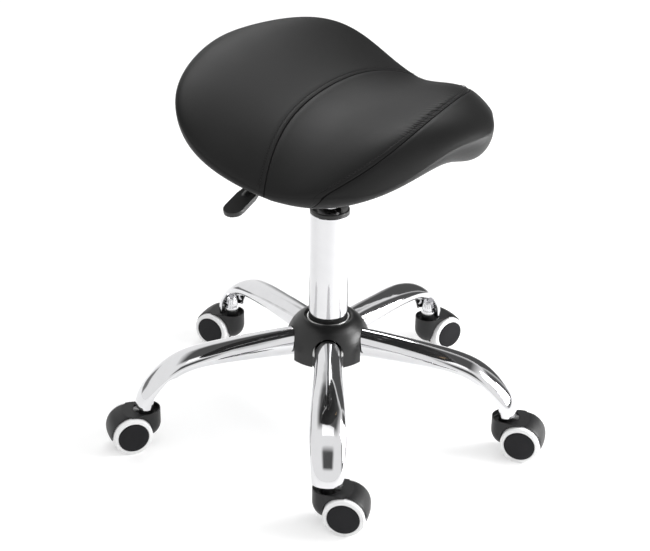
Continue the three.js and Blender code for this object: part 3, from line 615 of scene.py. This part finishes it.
arch_half = 19.4
arch_foot = 96
arch_height = 121
arch_rise = 19.8
arch_reach = 28.5, 40
arch_turns = [180 * degree * k / 24 for k in range(25)]
arch_outline = [(-arch_half, arch_foot), *[
    (-arch_half * math.cos(turn), arch_height + arch_rise * math.sin(turn)) for turn in arch_turns
], (arch_half, arch_foot)]
arch_slab = slab("arch_cutter", arch_outline, 0, *arch_reach, column_foot)
for angle in leg_angles:
    cut(cover, copy_to(arch_slab, "arch_cutter_turned", round_column(angle)))
discard(arch_slab)
soften_edges(cover, 0.9 * mm, 3, 42)
smooth(cover, 40)
paint(cover, hub_plastic, "black_plastic", "base", "hub_cover")

# %% [markdown]
# Each leg is an oval steel tube, pressed flatter and wider as it runs out and bent down at its
# end. It is drawn as a ring of points that is extruded from station to station: moved along the
# bend, sized to the section there and turned to face along the tube.

# %% Stations of a leg
leg_root_height = 121
leg_reach = 241.8
leg_width = 43.4
leg_depth = 39
leg_wall = 1.6
leg_shares = np.array([
    [0.10, 0.00, 0.79, 1.00],
    [0.30, 0.00, 0.81, 0.90],
    [0.50, 0.02, 0.86, 0.77],
    [0.62, 0.04, 0.94, 0.67],
    [0.73, 0.09, 0.985, 0.60],
    [0.81, 0.18, 1.00, 0.565],
    [0.88, 0.34, 1.00, 0.545],
    [0.94, 0.56, 0.965, 0.56],
    [0.98, 0.78, 0.92, 0.60],
    [1.00, 1.00, 0.88, 0.64],
])


def through(values, share):
    """A smooth curve through evenly spaced values: the value at a share of the way."""
    place = share * (len(values) - 1)
    k = min(int(place), len(values) - 2)
    t = place - k
    before = values[max(k - 1, 0)] if k > 0 else 2 * values[0] - values[1]
    after = values[k + 2] if k + 2 < len(values) else 2 * values[-1] - values[-2]
    return 0.5 * (2 * values[k] + (values[k + 1] - before) * t
                  + (2 * before - 5 * values[k] + 4 * values[k + 1] - after) * t ** 2
                  + (3 * values[k] - before - 3 * values[k + 1] + after) * t ** 3)


leg_end_height = height_of(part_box("leg_1")[0])


def leg_height(drop):
    return leg_root_height - (leg_root_height - leg_end_height) * drop


station_count = 28
stations = []
for k in range(station_count):
    reach, drop, wide, deep = through(leg_shares, k / (station_count - 1))
    stations.append((reach * leg_reach, leg_height(drop),
                     leg_width / 2 * wide, leg_depth / 2 * deep))
slopes = [0.0, *[math.atan2(after[1] - before[1], after[0] - before[0])
                 for before, after in zip(stations, stations[2:])], -90 * degree]
print("stations", len(stations), "end height", round(leg_end_height, 2))

# %% Extrude a leg along its stations
last = stations[0]
centre = column_foot + Vector((last[0] * mm, 0, last[1] * mm))
leg = start_with("leg_tube", bpy.ops.mesh.primitive_circle_add, vertices=48, radius=mm,
                 location=centre, rotation=(0, 90 * degree, 0))
edit_all()
bpy.ops.transform.resize(value=(1, *last[2:]), center_override=centre)
for k in range(1, station_count):
    last, here = stations[k - 1:k + 1]
    move = Vector(((here[0] - last[0]) * mm, 0, (here[1] - last[1]) * mm))
    centre = centre + move
    bpy.ops.mesh.extrude_region_move(TRANSFORM_OT_translate={"value": move})
    bpy.ops.transform.rotate(value=-slopes[k - 1], orient_axis="Y", center_override=centre)
    bpy.ops.transform.resize(value=(1, here[2] / last[2], here[3] / last[3]),
                             center_override=centre)
    bpy.ops.transform.rotate(value=slopes[k], orient_axis="Y", center_override=centre)
close_up(leg)
apply_modifier(leg, "SOLIDIFY", thickness=leg_wall * mm, offset=-1, use_even_offset=True)
report(leg)

# %% [markdown]
# The tube's inner half is cut away at the end, so its outer half hangs like a hood over a short
# socket, and the caster's stem is pushed up into that socket.

# %% Open the mouth and weld in the socket
mouth_start, mouth_setback, mouth_depth = 5, 3.5, 4
reach, drop, wide, deep = leg_shares[mouth_start]
mouth = [(reach * leg_reach, leg_height(drop) - leg_depth / 2 * deep)]
for reach, drop, wide, deep in leg_shares[mouth_start + 1:]:
    mouth.append((reach * leg_reach - mouth_setback * drop, leg_height(drop)))
mouth_edge = [tuple(through(np.array(mouth), k / 16)) for k in range(17)]
mouth_edge += [(mouth_edge[k][0], leg_end_height - mouth_depth) for k in (-1, 0)]
cut(leg, slab("mouth_cutter", mouth_edge, 1, -25, 50, column_foot))
soften_edges(leg, 0.35 * mm, 2, 50)
pivot_radius = 240.6
socket_profile = [(5.8, 0), (9.4, 0), (10, 0.6), (9.9, 3), (9, 6), (8.8, 9), (7.6, 14.5),
                  (7, 17.4), (6.4, 18), (0, 18), (0, 16), (5.8, 16)]
socket = spun("leg_socket", [(radius, leg_end_height + rise) for radius, rise in socket_profile],
              axis=column_foot + Vector((pivot_radius * mm, 0, 0)), steps=48)
select_only(leg)
socket.select_set(True)
bpy.ops.object.join()
smooth(leg, 40)
report(leg)

# %% Set the five legs round the hub
hidden_root = 47 * mm
for n, angle in zip(numbers, leg_angles):
    one = copy_to(leg, f"leg_{n}_plated", round_column(angle))
    paint(one, leg_chrome, "chrome_tube", "base", f"leg_{n}")
    # The legs' roots inside the hub cover get the dark tube finish: painted shade in the arches'
    # gaps.
    blacken(one, lambda place: (place - column_foot).xy.length < hidden_root)
discard(leg)
print("legs", len(leg_angles))

# %% [markdown]
# A caster's wheel is a moulded disc with a soft tread shrunk on it. Both are turned shapes: the
# disc has a slightly domed face and a hollow back round its hub, and the tread has round shoulders.

# %% Spin a wheel and its tread
wheel_radius = 25
disc_radius = 19.4
wheel_inner = 7.5
wheel_face = 25.5
disc = turned("wheel_disc", [
    (0, wheel_face - 4), (3.3, wheel_face - 4), (3.3, wheel_inner), (7, wheel_inner),
    (7.4, wheel_inner + 0.4), (7.6, wheel_inner + 7), (8.4, wheel_inner + 8),
    (16, wheel_inner + 8), (16.8, wheel_inner + 7.2), (17, wheel_inner + 0.4), (17.4, wheel_inner),
    (disc_radius, wheel_inner), (disc_radius, wheel_face - 1.2),
    (disc_radius - 0.35, wheel_face - 0.75), (disc_radius - 1.2, wheel_face - 0.45),
    (disc_radius * 0.7, wheel_face - 0.16), (disc_radius * 0.35, wheel_face - 0.03),
    (0, wheel_face),
])
tread = turned("wheel_tread", [
    (disc_radius + 0.25, wheel_inner), (wheel_radius - 1, wheel_inner),
    (wheel_radius - 0.3, wheel_inner + 0.3), (wheel_radius, wheel_inner + 1),
    *arc((wheel_radius - 2.2, wheel_face - 3.8), 2.2, 0, 84, 6),
    (disc_radius + 0.9, wheel_face - 1.1), (disc_radius + 0.25, wheel_face - 1.5),
], steps=96, closes=True)
for piece in (disc, tread):
    smooth(piece, 40)
    report(piece)

# %% [markdown]
# A hood is the caster's body: a round cup that turns on the stem, run together with a fender over
# both wheels. It is a cup, a block cut to the fender's outline and wells for the wheels, remeshed
# finely and smoothed, which rounds its edges as a mould does.

# %% Shape a hood's outside
trail = 22.8
hood_height = 51.8
boss_top = 55.6
cup_radius = 18
well_radius = wheel_radius + 0.9
fender_radius = well_radius + 1.8
hood_half = 20.5
shave_radius = fender_radius + 0.4
top_angle = math.asin((hood_height - wheel_radius) / shave_radius) / degree
axle_place = Matrix.Translation((trail * mm, 0, wheel_radius * mm))

# A block behind the axle, with the fender's barrel taken out, shaves the fender's corners round.
barrel = turned("fender_barrel", [
    (0, -32), (20, -32), (fender_radius - 5, -hood_half), *[
        (shave_radius - 1.7 * (y / hood_half) ** 2 - 1.2 * abs(y / hood_half) ** 12, y)
        for y in np.linspace(-hood_half, hood_half, 41)],
    (fender_radius - 5, hood_half), (20, 32), (0, 32),
], steps=96)
barrel.data.transform(axle_place @ turn_by(90 * degree, "X"))
shaver = start_with("fender_shaver", bpy.ops.mesh.primitive_cube_add, size=1,
                    location=((trail + 30) * mm, 0, 32 * mm), scale=(60 * mm, 50 * mm, 74 * mm))
settle(shaver)
cut(shaver, barrel)
hood = turned("hood_cup", [
    (0, 12), *arc((cup_radius - 21, 33), 21, -62, 0, 10), (cup_radius, hood_height),
    (0, hood_height),
])
block = slab("hood_block", [
    (0, 12), (trail, 16), *arc((trail, wheel_radius), shave_radius, -6, top_angle, 24),
    (0, hood_height),
], 1, -30, 60)
plan = [*arc((0, 0), cup_radius, 90, 270, 24),
        (17, -hood_half), (60, -hood_half), (60, hood_half), (17, hood_half)]
cut(block, slab("hood_plan", plan, 2, -4, 64), "INTERSECT")
cut(block, shaver)
cut(hood, block, "UNION")
report(hood)

# %% Hollow the hood for the wheels and the stem
for side in (-1, 1):
    well = start_with("hood_well", bpy.ops.mesh.primitive_cylinder_add, vertices=96,
                      radius=well_radius * mm, depth=40 * mm, rotation=(90 * degree, 0, 0),
                      location=(trail * mm, side * 27 * mm, wheel_radius * mm))
    settle(well)
    cut(hood, well)
cut(hood, turned("hood_stem_well", [(0, 45.3), (16.6, 45.3), (16.6, 60), (0, 60)]))
cut(hood, turned("hood_boss", [(0, 44.9), (9, 44.9), (9, 55), (8.5, boss_top), (0, boss_top)]),
    "UNION")
cut(hood, turned("hood_stem_bore", [(0, 22.3), (5.8, 22.3), (5.8, 60), (0, 60)]))
apply_modifier(hood, "REMESH", mode="VOXEL", voxel_size=0.55 * mm)
apply_modifier(hood, "SMOOTH", factor=0.5, iterations=4)
smooth(hood, 60)
report(hood)

# %% [markdown]
# Each caster stands at its own angle, as it happened to stop. The CAD pieces give its pivot and
# its axle's place, and the copies are set from those.

# %% Set the five casters
for n in numbers:
    pivot, axle = middle_of(f"caster_{n}_stem"), middle_of(f"caster_{n}_axle")
    way = math.atan2(axle.y - pivot.y, axle.x - pivot.x)
    stand_at = Matrix.Translation((pivot.x, pivot.y, column_foot.z)) @ turn_by(way)
    one = copy_to(hood, f"caster_{n}_hood_moulded", stand_at)
    paint(one, hood_plastic, "black_plastic", f"caster_{n}", f"caster_{n}_hood")
    for side, sign in (("left", 1), ("right", -1)):
        lay = axle_place @ turn_by(-sign * 90 * degree, "X")
        for shape, kind, material, slot in ((disc, "wheel", disc_plastic, "cap_plastic"),
                                            (tread, "tyre", tread_soft, "tread")):
            part = copy_to(shape, f"caster_{n}_{kind}_{side}_turned", stand_at @ lay)
            paint(part, material, slot, f"wheel_{n}_{side}", f"caster_{n}_{kind}_{side}")
for piece in (hood, disc, tread):
    discard(piece)

# %% [markdown]
# The lever is a bent rod with a moulded paddle on its end. The rod is a curve with a round bevel,
# made a mesh, and the paddle is an outline that is filled, thickened and rounded.

# %% Draw the lever rod
pin_middle = middle_of("lever_pivot_pin")
lever_height = height_of(pin_middle)
paddle_droop = 12 * degree
paddle_yaw = 2 * degree
paddle_along = Vector((-math.cos(paddle_yaw) * math.cos(paddle_droop),
                       math.sin(paddle_yaw) * math.cos(paddle_droop), -math.sin(paddle_droop)))
paddle_root = column_foot + Vector((-136 * mm, 24.5 * mm, (lever_height + 13.2) * mm))
in_paddle = [(paddle_root + paddle_along * (reach * mm) - column_foot) / mm
             for reach in (-6, 4, 18, 31)]
rod_knots = np.array([
    *[(x, 0, lever_height) for x in (14, -8, -30, -60)], (-84, 9, lever_height + 5),
    (-108, 18, lever_height + 10.5), *[tuple(knot) for knot in in_paddle],
])
rod_steps = 60
rod_radius = 4
line = bpy.data.curves.new("lever_rod_bent", "CURVE")
line.dimensions = "3D"
line.bevel_depth = rod_radius * mm
line.bevel_resolution = 6
line.use_fill_caps = True
spline = line.splines.new("POLY")
spline.points.add(rod_steps)
for k, point in enumerate(spline.points):
    point.co = (*(column_foot + Vector(through(rod_knots, k / rod_steps)) * mm), 1)
lever_rod = new_object("lever_rod_bent", line)
select_only(lever_rod)
bpy.ops.object.convert(target="MESH")
eye = turned("lever_eye", [(2.8, -6), (6.1, -6), (6.5, -5.6), (6.5, 5.6), (6.1, 6), (2.8, 6)],
             40, True)
eye.data.transform(Matrix.Translation(pin_middle) @ turn_by(90 * degree, "X"))
select_only(lever_rod)
eye.select_set(True)
bpy.ops.object.join()
smooth(lever_rod, 40)
paint(lever_rod, zinc, "zinc_steel", "lever", "lever_rod")

# %% Shape the paddle
paddle_half = 12
paddle_length = 70
paddle_thick = 6
straight = paddle_length - paddle_half
paddle_side = [(0, 7.2), (straight * 0.22, 9.2), (straight * 0.5, paddle_half)]
paddle_outline = [*[(x, -y) for x, y in paddle_side], *arc((straight, 0), paddle_half, -90, 90, 18),
                  *reversed(paddle_side)]
paddle = slab("lever_paddle_moulded", paddle_outline, 2, -paddle_thick / 2, paddle_thick)
neck = turned("paddle_neck", [(0, -3), (4.6, -3), (5.4, -2.2), (5.4, 30), (4.2, 34), (0, 36)], 32)
neck.data.transform(turn_by(90 * degree, "Y"))
cut(paddle, neck, "UNION")
apply_modifier(paddle, "REMESH", mode="VOXEL", voxel_size=0.6 * mm)
apply_modifier(paddle, "SMOOTH", factor=0.5, iterations=6)
across = Vector((0, 0, 1)).cross(paddle_along).normalized()
paddle.data.transform(Matrix.Translation(paddle_root)
                      @ facing(paddle_along, across, paddle_along.cross(across)))
smooth(paddle, 60)
paint(paddle, paddle_plastic, "black_plastic", "lever", "lever_paddle")

# %% [markdown]
# The saddle is a wide seat that falls from its raised back to a hollow, rises a little at its front
# and droops at both sides. Its outline, crown and rim are smooth curves round it: sums of cosines
# of the turn from the nose, and powers of the way forward.

# %% Curves of the saddle
pan_bottom = height_of(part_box("seat_pan")[0]) * mm
saddle_length = 343.4 * mm
saddle_width = 444 * mm
saddle_forward = 21 * mm
nose_reach = 9.5 * mm
nose_width = 96 * mm
nose_drop = 17.8 * mm
pommel_rise = 15.9 * mm
pommel_middle = 128.2 * mm
pommel_length = 83 * mm
pommel_width = 167 * mm
pommel_power = 4
foam_height = 55.6 * mm
rear_rise = 80 * mm
side_droop = 25 * mm
rim_rise = 74 * mm
plan_shares = [1.0086, -0.17, -0.0819, -0.0177, -0.0935, 0.0016]
rim_shares = [0.403, -0.378, 0.309, 0.067, -0.026]
crown_shares = [0, -0.413, 0.698, -0.056, -0.164]
droop_shares = [1, 1.64, -1.22, -0.35]
front_droop_shares = [0, 0, -15.61, 29.6, -4.81]
droop_power = 2.28
edge_fullness = 2.47
equator_share = 0.54
rim_share = 0.85
flat_share = 0.45
lip_share = 0.79
pan_thickness = 8.3 * mm


def cosines(shares, turn):
    return sum(share * np.cos(k * turn) for k, share in enumerate(shares))


def powers(shares, value):
    return sum(share * value ** k for k, share in enumerate(shares))


def nose_bell(side, turn):
    return np.where(np.cos(turn) > 0, np.exp(-(side / (nose_width / 2)) ** 2), 0)


def outline(turn):
    side = np.sin(turn) * saddle_width / 2 * cosines(plan_shares, turn)
    return saddle_length / 2 * np.cos(turn) + nose_reach * nose_bell(side, turn), side


def crown(forward, side):
    way = forward / (saddle_length / 2)
    drooping = powers(droop_shares, way) + powers(front_droop_shares, np.maximum(way, 0))
    droop = side_droop * drooping * (np.abs(side) / (saddle_width / 2)) ** droop_power
    pommel = pommel_rise * np.exp(-((forward - pommel_middle) / pommel_length) ** 2
                                  - (np.abs(side) / pommel_width) ** pommel_power)
    return pan_bottom + foam_height + rear_rise * powers(crown_shares, way) - droop + pommel


def rim(turn):
    drop = nose_drop * nose_bell(outline(turn)[1], turn)
    return pan_bottom + rim_rise * cosines(rim_shares, turn) - drop


print("saddle outline half widths",
      [round(float(outline(t * degree)[1]), 4) for t in (45, 90, 135)])

# %% [markdown]
# The cushion starts as a sphere with fine rings. Every ring is moved to its place on the saddle:
# over the crown, round the edge, under the roll to the pan and across the hidden inside.

# %% Shape the cushion from a sphere
turn_steps = 320
top_rings, roll_rings, under_rings, inside_rings = 120, 26, 6, 8
hem_ring = top_rings + roll_rings
lip_ring = hem_ring + under_rings
ring_total = lip_ring + inside_rings


def cushion_place(ring, turn):
    edge_forward, edge_side = outline(turn)
    edge_top = crown(edge_forward, edge_side)
    low = rim(turn)
    over = np.sin(np.clip(ring / top_rings, 0, 1) * 90 * degree)
    fall = ((1 - equator_share) * (edge_top - low)
            * (1 - np.sqrt(np.clip(1 - over ** edge_fullness, 0, 1))))
    forward, side = edge_forward * over, edge_side * over
    top = np.stack([forward, side, crown(forward, side) - fall])
    roll = np.clip((ring - top_rings) / roll_rings, 0, 1) * 90 * degree
    inward = 1 - (1 - rim_share) * (1 - np.cos(roll))
    edge = np.stack([edge_forward * inward, edge_side * inward,
                     low + equator_share * (edge_top - low) * (1 - np.sin(roll))])
    under = np.clip((ring - hem_ring) / under_rings, 0, 1)
    share = rim_share + (lip_share - rim_share) * under
    bottom = np.stack([edge_forward * share, edge_side * share, under_height(share, low)])
    within = np.clip((ring - lip_ring) / inside_rings, 0, 1)
    hidden_share = lip_share * (1 - within)
    hidden = np.stack([edge_forward * hidden_share, edge_side * hidden_share,
                       under_height(hidden_share, low) + pan_thickness])
    place = np.where(ring <= top_rings, top, edge)
    place = np.where(ring > hem_ring, bottom, place)
    return np.where(ring > lip_ring, hidden, place)


def under_height(share, low):
    way = np.clip((share - flat_share) / (rim_share - flat_share), 0, 1)
    return pan_bottom + (low - pan_bottom) * way * way * (3 - 2 * way)


cushion = start_with("saddle_cushion", bpy.ops.mesh.primitive_uv_sphere_add,
                     segments=turn_steps, ring_count=ring_total, radius=1)
count = len(cushion.data.vertices)


def read_vertices(what):
    values = np.zeros(count * 3)
    cushion.data.vertices.foreach_get(what, values)
    return values.reshape(-1, 3)


ball = read_vertices("co")
turn = np.arctan2(ball[:, 0], -ball[:, 1])
ring = np.round(np.arccos(np.clip(ball[:, 2], -1, 1)) / math.pi * ring_total)
forward, side, height = cushion_place(ring, turn)
print("cushion points", count)

# %% [markdown]
# The cover is sewn from three panels. Each seam is drawn in to a groove, with the leather rounding
# up beside it, and the front seam puckers where the nose bends. The groove's distance is kept on
# the mesh, so that the finish can draw the crease and its stitches.

# %% Seams as distances on the mesh
rear_seam = {"turn": 88, "middle": -31.7, "power": 2.2, "slant": 1}
front_seam = {"turn": 66.1, "middle": 122.7, "power": 2.48, "slant": 9}


def seam_forward(seam, side):
    end_forward, end_side = outline(np.array(seam["turn"] * degree))
    way = np.clip(np.abs(side) / end_side, 0, 1.3)
    return end_forward + (seam["middle"] * mm - end_forward) * (1 - way ** seam["power"])


def seam_lean(seam, side):
    """How far forward the seam goes for each step to the side."""
    step = 0.5 * mm
    return (seam_forward(seam, side + step) - seam_forward(seam, side - step)) / (2 * step)


def seam_distance(seam):
    """How far ahead of the seam each point lies, square to the seam."""
    ahead_of = (forward - seam_forward(seam, side)) / np.sqrt(1 + seam_lean(seam, side) ** 2)
    rolled = np.clip((ring - top_rings) / roll_rings, 0, 1)
    end_turn = (seam["turn"] + seam["slant"] * rolled) * degree
    end_forward, end_side = outline(end_turn)
    edge_forward, edge_side = outline(turn)
    round_edge = np.sign(end_turn - np.abs(turn)) * np.hypot(
        edge_forward - end_forward, np.abs(edge_side) - end_side)
    return np.where(ring > top_rings, round_edge, ahead_of)


inward_fade = np.clip(1 - (ring - hem_ring) / under_rings, 0, 1)
rear_gap = seam_distance(rear_seam)
front_gap = seam_distance(front_seam)
places = np.stack([side, -forward - saddle_forward, height], 1)
cushion.data.vertices.foreach_set("co", places.ravel())
cushion.data.update()
valley_waves = [(-0.6, 0, 1.9), (0.2, -3, 1.6), (-0.3, -5.8, 1.6), (0.15, 5, 4)]


def bell(gap, middle, half_width, power=2):
    return np.exp(-((gap - middle * mm) / (half_width * mm)) ** power)


def valley(gap):
    """The soft valley round a seam, with the band between crease and topstitch rounding up."""
    return sum(height * mm * bell(gap, middle, half_width)
               for height, middle, half_width in valley_waves)


gather = bell(np.abs(side), 8, 70, 4)
folds = np.sin(side / (9.5 * mm) * math.tau + 2.2 * np.sin(side / (23 * mm)))
puckers = 0.5 * mm * folds * gather * bell(front_gap, -9, 6.5)
push = (valley(rear_gap) + valley(front_gap) + puckers) * inward_fade
places = places + read_vertices("normal") * push[:, None] + np.array(column_foot)
cushion.data.vertices.foreach_set("co", places.ravel())
for name, values, most in (("rear_gap", rear_gap, 0.05), ("front_gap", front_gap, 0.05),
                           ("gather", gather, 1)):
    layer = cushion.data.attributes.new(name, "FLOAT", "POINT")
    layer.data.foreach_set("value", np.clip(values, -most, most))
cushion.data.update()
print("seams drawn in")

# %% [markdown]
# The cover is black artificial leather: a fine pebble grain pressed into a soft film, satin rather
# than glossy, a little duller in the creases. Each seam's crease and the sunk stitch line beside it
# are painted darker: painted shade in the grooves.

# %% Leather finish


def leather_finish():
    finish = Finish("saddle_leather", Specular_IOR_Level=0.21)

    def carried(name):
        return finish.add("ShaderNodeAttribute", {"attribute_name": name}, out="Fac")

    def band(gap, middle, half_width):
        return finish.clamp(1 - finish.math("ABSOLUTE", gap - middle) / half_width)

    rear, front = carried("rear_gap"), carried("front_gap")
    grain = finish.add("ShaderNodeTexVoronoi", {"feature": "SMOOTH_F1"}, out="Distance",
                       Vector=finish.place, Scale=1 / (1.15 * mm), Smoothness=0.6)
    pores = finish.noise(0.5)
    drift = finish.noise(45)
    across = finish.add("ShaderNodeSeparateXYZ", out="X", Vector=finish.place)
    folds = finish.math("SINE", across * (math.tau / (5.2 * mm)) + finish.noise(12, 1.0) * 7)
    pucker = folds * band(front, -6.5 * mm, 7 * mm) * carried("gather")
    crease = finish.clamp((band(rear, 0.0, 1.1 * mm) + band(front, 0.0, 1.1 * mm)) * 2)
    sunk = band(rear, -5.6 * mm, 0.8 * mm) + band(front, -5.6 * mm, 0.8 * mm)
    height = grain * 0.5 + pores * 0.2 - crease * 8 - sunk * 2.5 + pucker * 7
    tone = finish.mix(drift, grey(0.0075), grey(0.011))
    # Painted shade: the crease and the sunk stitch line are darkened in the base colour below.
    return finish.surface(
        Base_Color=finish.mix(finish.clamp(crease + sunk * 0.6), tone, grey(0.0004)),
        Roughness=0.42 + drift * 0.05 + pores * 0.05 + crease * 0.45,
        Normal=finish.bump(height, 0.10, 0.8),
    )


saddle_leather = leather_finish()
select_only(cushion)
bpy.ops.object.shade_smooth()
paint(cushion, saddle_leather, "black_leather", "seat", "cushion")

# %% [markdown]
# A black dust cover of thin felted cloth closes the pan from below, over the folded hem of the
# leather. It is a sphere pressed flat: both its halves are laid along the pan, a hair apart.

# %% Lay the dust cover under the pan
dust_cloth = mottled_finish("dust_cloth", (grey(0.004), grey(0.014)), (0.6, 4.0, 0.7),
                            (0.85, 0.1), None, 0.08)
cloth_share = 0.83
cloth_rings = 32
dust_cover = start_with("dust_cover", bpy.ops.mesh.primitive_uv_sphere_add,
                        segments=120, ring_count=cloth_rings, radius=1)
for vertex in dust_cover.data.vertices:
    x, y, z = vertex.co
    way_round = np.array(math.atan2(x, -y))
    rings_down = math.acos(max(-1.0, min(1.0, z))) / math.pi * cloth_rings
    share = cloth_share * min(rings_down, cloth_rings - rings_down) / (cloth_rings / 2)
    below = (0.06 if z > 0 else 0.2) * mm
    edge_forward, edge_side = outline(way_round)
    level = float(under_height(share, rim(way_round)))
    vertex.co = (edge_side * share, -edge_forward * share - saddle_forward, level - below)
dust_cover.data.transform(Matrix.Translation(column_foot))
smooth(dust_cover, 50)
paint(dust_cover, dust_cloth, "black_leather", "seat")

# %% [markdown]
# Beside each seam runs a row of topstitches. One stitch is modelled, a short thread pulled in at
# its ends, and copied along the line by arithmetic, each copy lying on the leather.

# %% Sew the topstitches
sewing_thread = mottled_finish("sewing_thread", (grey(0.004), grey(0.010)), (0.3, 1.0), (0.7, 0.2),
                               None, 0.05)
stitch = start_with("stitch", bpy.ops.mesh.primitive_uv_sphere_add, segments=8, ring_count=6,
                    radius=1)
stitch.data.transform(Matrix.Diagonal((1.7 * mm, 0.42 * mm, 0.36 * mm, 1)))
stitch_points = [vertex.co.copy() for vertex in stitch.data.vertices]
stitch_faces = [tuple(face.vertices) for face in stitch.data.polygons]
discard(stitch)
stitch_pitch = 4.4 * mm
stitch_lift = 0.75 * mm
stitch_offset = -5.5 * mm
row_share = 0.985


def surface_point(forward, side):
    """The place on the cover's top over a point of the plan."""
    turn_grid = np.linspace(0, 180 * degree, 721)
    edge_forward, edge_side = outline(turn_grid)
    turn = np.interp(np.arctan2(abs(side), forward), np.arctan2(edge_side, edge_forward), turn_grid)
    share = min(1.0, math.hypot(forward, side) / math.hypot(*outline(turn)))
    ring = math.asin(share) / (90 * degree) * top_rings
    place = cushion_place(np.array(ring), np.array(turn if side >= 0 else -turn))
    return Vector((place[1], -place[0] - saddle_forward, place[2]))


def sew(name, seam):
    end_side = float(outline(np.array(seam["turn"] * degree))[1]) * row_share
    line = []
    for side in np.linspace(-end_side, end_side, 400):
        offset = stitch_offset * math.sqrt(1 + float(seam_lean(seam, side)) ** 2)
        line.append(surface_point(float(seam_forward(seam, side)) + offset, side))
    length = [0.0]
    for start, end in zip(line, line[1:]):
        length.append(length[-1] + (end - start).length)
    points, polygons = [], []
    reach = stitch_pitch
    while reach < length[-1] - stitch_pitch:
        k = int(np.searchsorted(length, reach)) - 1
        start, end = line[k:k + 2]
        along = (end - start).normalized()
        sideways = Vector((0, 0, 1)).cross(along).normalized()
        upright = along.cross(sideways)
        share = (reach - length[k]) / (length[k + 1] - length[k])
        place = start.lerp(end, share) + upright * stitch_lift
        lay = Matrix.Translation(column_foot + place) @ facing(along, sideways, upright)
        polygons += [[len(points) + corner for corner in face] for face in stitch_faces]
        points += [lay @ point for point in stitch_points]
        reach += stitch_pitch
    mesh = bpy.data.meshes.new(name)
    mesh.from_pydata(points, [], polygons)
    row = new_object(name, mesh)
    smooth(row, 80)
    paint(row, sewing_thread, "black_leather", "seat")
    print(name, "stitches", len(points) // len(stitch_points), "length", round(length[-1], 3))


sew("rear_topstitch", rear_seam)
sew("front_topstitch", front_seam)

# %% [markdown]
# The stool stands on a white floor that runs away into a white surround. The floor shows the
# camera its own white and still keeps the stool's soft shadow, and grey cards that the camera
# can't see give the chrome something dark to mirror, as a photographer's cards do.

# %% Floor and surround
floor_glow = 0.30
world_light = 0.85
floor = start_with("studio_floor", bpy.ops.mesh.primitive_circle_add, vertices=96, radius=9,
                   fill_type="NGON")
matt_floor = Finish("studio_floor", Roughness=0.9, Base_Color=grey(0.8))
plain = Flow(matt_floor, matt_floor.shader.outputs[0])
glow = matt_floor.add("ShaderNodeEmission", Color=grey(1.0), Strength=floor_glow)
glowing = matt_floor.add("ShaderNodeAddShader", inputs=(plain, glow))
choice = matt_floor.add("ShaderNodeMixShader", inputs=(matt_floor.seen(), plain, glowing))
matt_floor.feed(matt_floor.tree.nodes["Material Output"].inputs["Surface"], choice)
floor.data.materials.append(matt_floor.material)
world = bpy.data.worlds.new("studio")
bpy.context.scene.world = world
world.use_nodes = True
surround = Wiring(world.node_tree)
strength = surround.math("MULTIPLY_ADD", surround.seen(), 1 - world_light, world_light)
surround.feed_all(world.node_tree.nodes["Background"], {"Color": grey(1), "Strength": strength})
print("floor and surround ready")

# %% Lights and cards
view_way = Vector((0.9012, 0.4335, 0))
view_side = Vector((0.4335, -0.9012, 0))


def round_the_stool(ahead_by, right_by, height):
    """A place in the studio as the photographer sees it."""
    return view_way * ahead_by + view_side * right_by + Vector((0, 0, height))


def aim(thing, place, target):
    thing.location = round_the_stool(*place)
    way = round_the_stool(*target) - round_the_stool(*place)
    thing.rotation_euler = way.to_track_quat("-Z", "Y").to_euler()


def area_light(name, place, width, height, power):
    lamp = bpy.data.lights.new(name, "AREA")
    lamp.shape = "RECTANGLE"
    lamp.size = width
    lamp.size_y = height
    lamp.energy = power
    aim(new_object(name, lamp), place, (0, 0, 0.4))


def mirror_card(name, place, target, width, height, shade):
    card = start_with(name, bpy.ops.mesh.primitive_plane_add, size=1)
    card.scale = (width, height, 1)
    aim(card, place, target)
    card.data.materials.append(shade)
    card.visible_camera = False
    card.visible_shadow = False
    card.visible_diffuse = False


def card_finish(name, tone):
    """A card that is darkest in its middle and fades into the white surround at its edges."""
    finish = Finish(name, Emission_Strength=1.0, Specular_IOR_Level=0.0, Roughness=1.0)
    fades = []
    for axis in ("X", "Y"):
        place = finish.add("ShaderNodeSeparateXYZ", out=axis, Vector=finish.place)
        fades.append(finish.clamp((1 - finish.math("ABSOLUTE", place) * 2) * 2.5))
    dark = finish.clamp(fades[0] * fades[1])
    glow = finish.mix(dark, grey(1.0), grey(tone))
    return finish.surface(Base_Color=grey(0.0), Emission_Color=glow)


card_grey = card_finish("card_grey", 0.10)
card_pale = card_finish("card_pale", 0.22)
area_light("key_light", (-0.2, 0.0, 2.6), 1.6, 1.6, 6)
area_light("side_light", (0.0, 1.6, 1.3), 0.9, 0.7, 13)
area_light("low_light", (-0.05, 0.8, 0.28), 0.5, 0.3, 6)
area_light("back_light", (1.35, 0.1, 1.4), 0.4, 0.35, 3.2)
mirror_card("card_behind_camera", (-2.6, 0.0, 2.3), (0, 0, 0.4), 3.0, 2.2, card_grey)
mirror_card("card_back", (2.4, 1.1, 1.2), (0, 0, 1.2), 3.4, 3.0, card_grey)
mirror_card("card_right", (0.4, 2.4, 0.9), (0, 0, 0.9), 3.4, 2.4, card_grey)
mirror_card("card_above", (0.7, 0.1, 2.3), (0.2, 0.0, 0.4), 3.8, 3.2, card_grey)
mirror_card("card_left", (1.2, -2.1, 0.35), (0, 0, 0.3), 1.5, 0.7, card_pale)
bpy.context.scene.view_settings.view_transform = "Standard"
print("lights and cards ready")
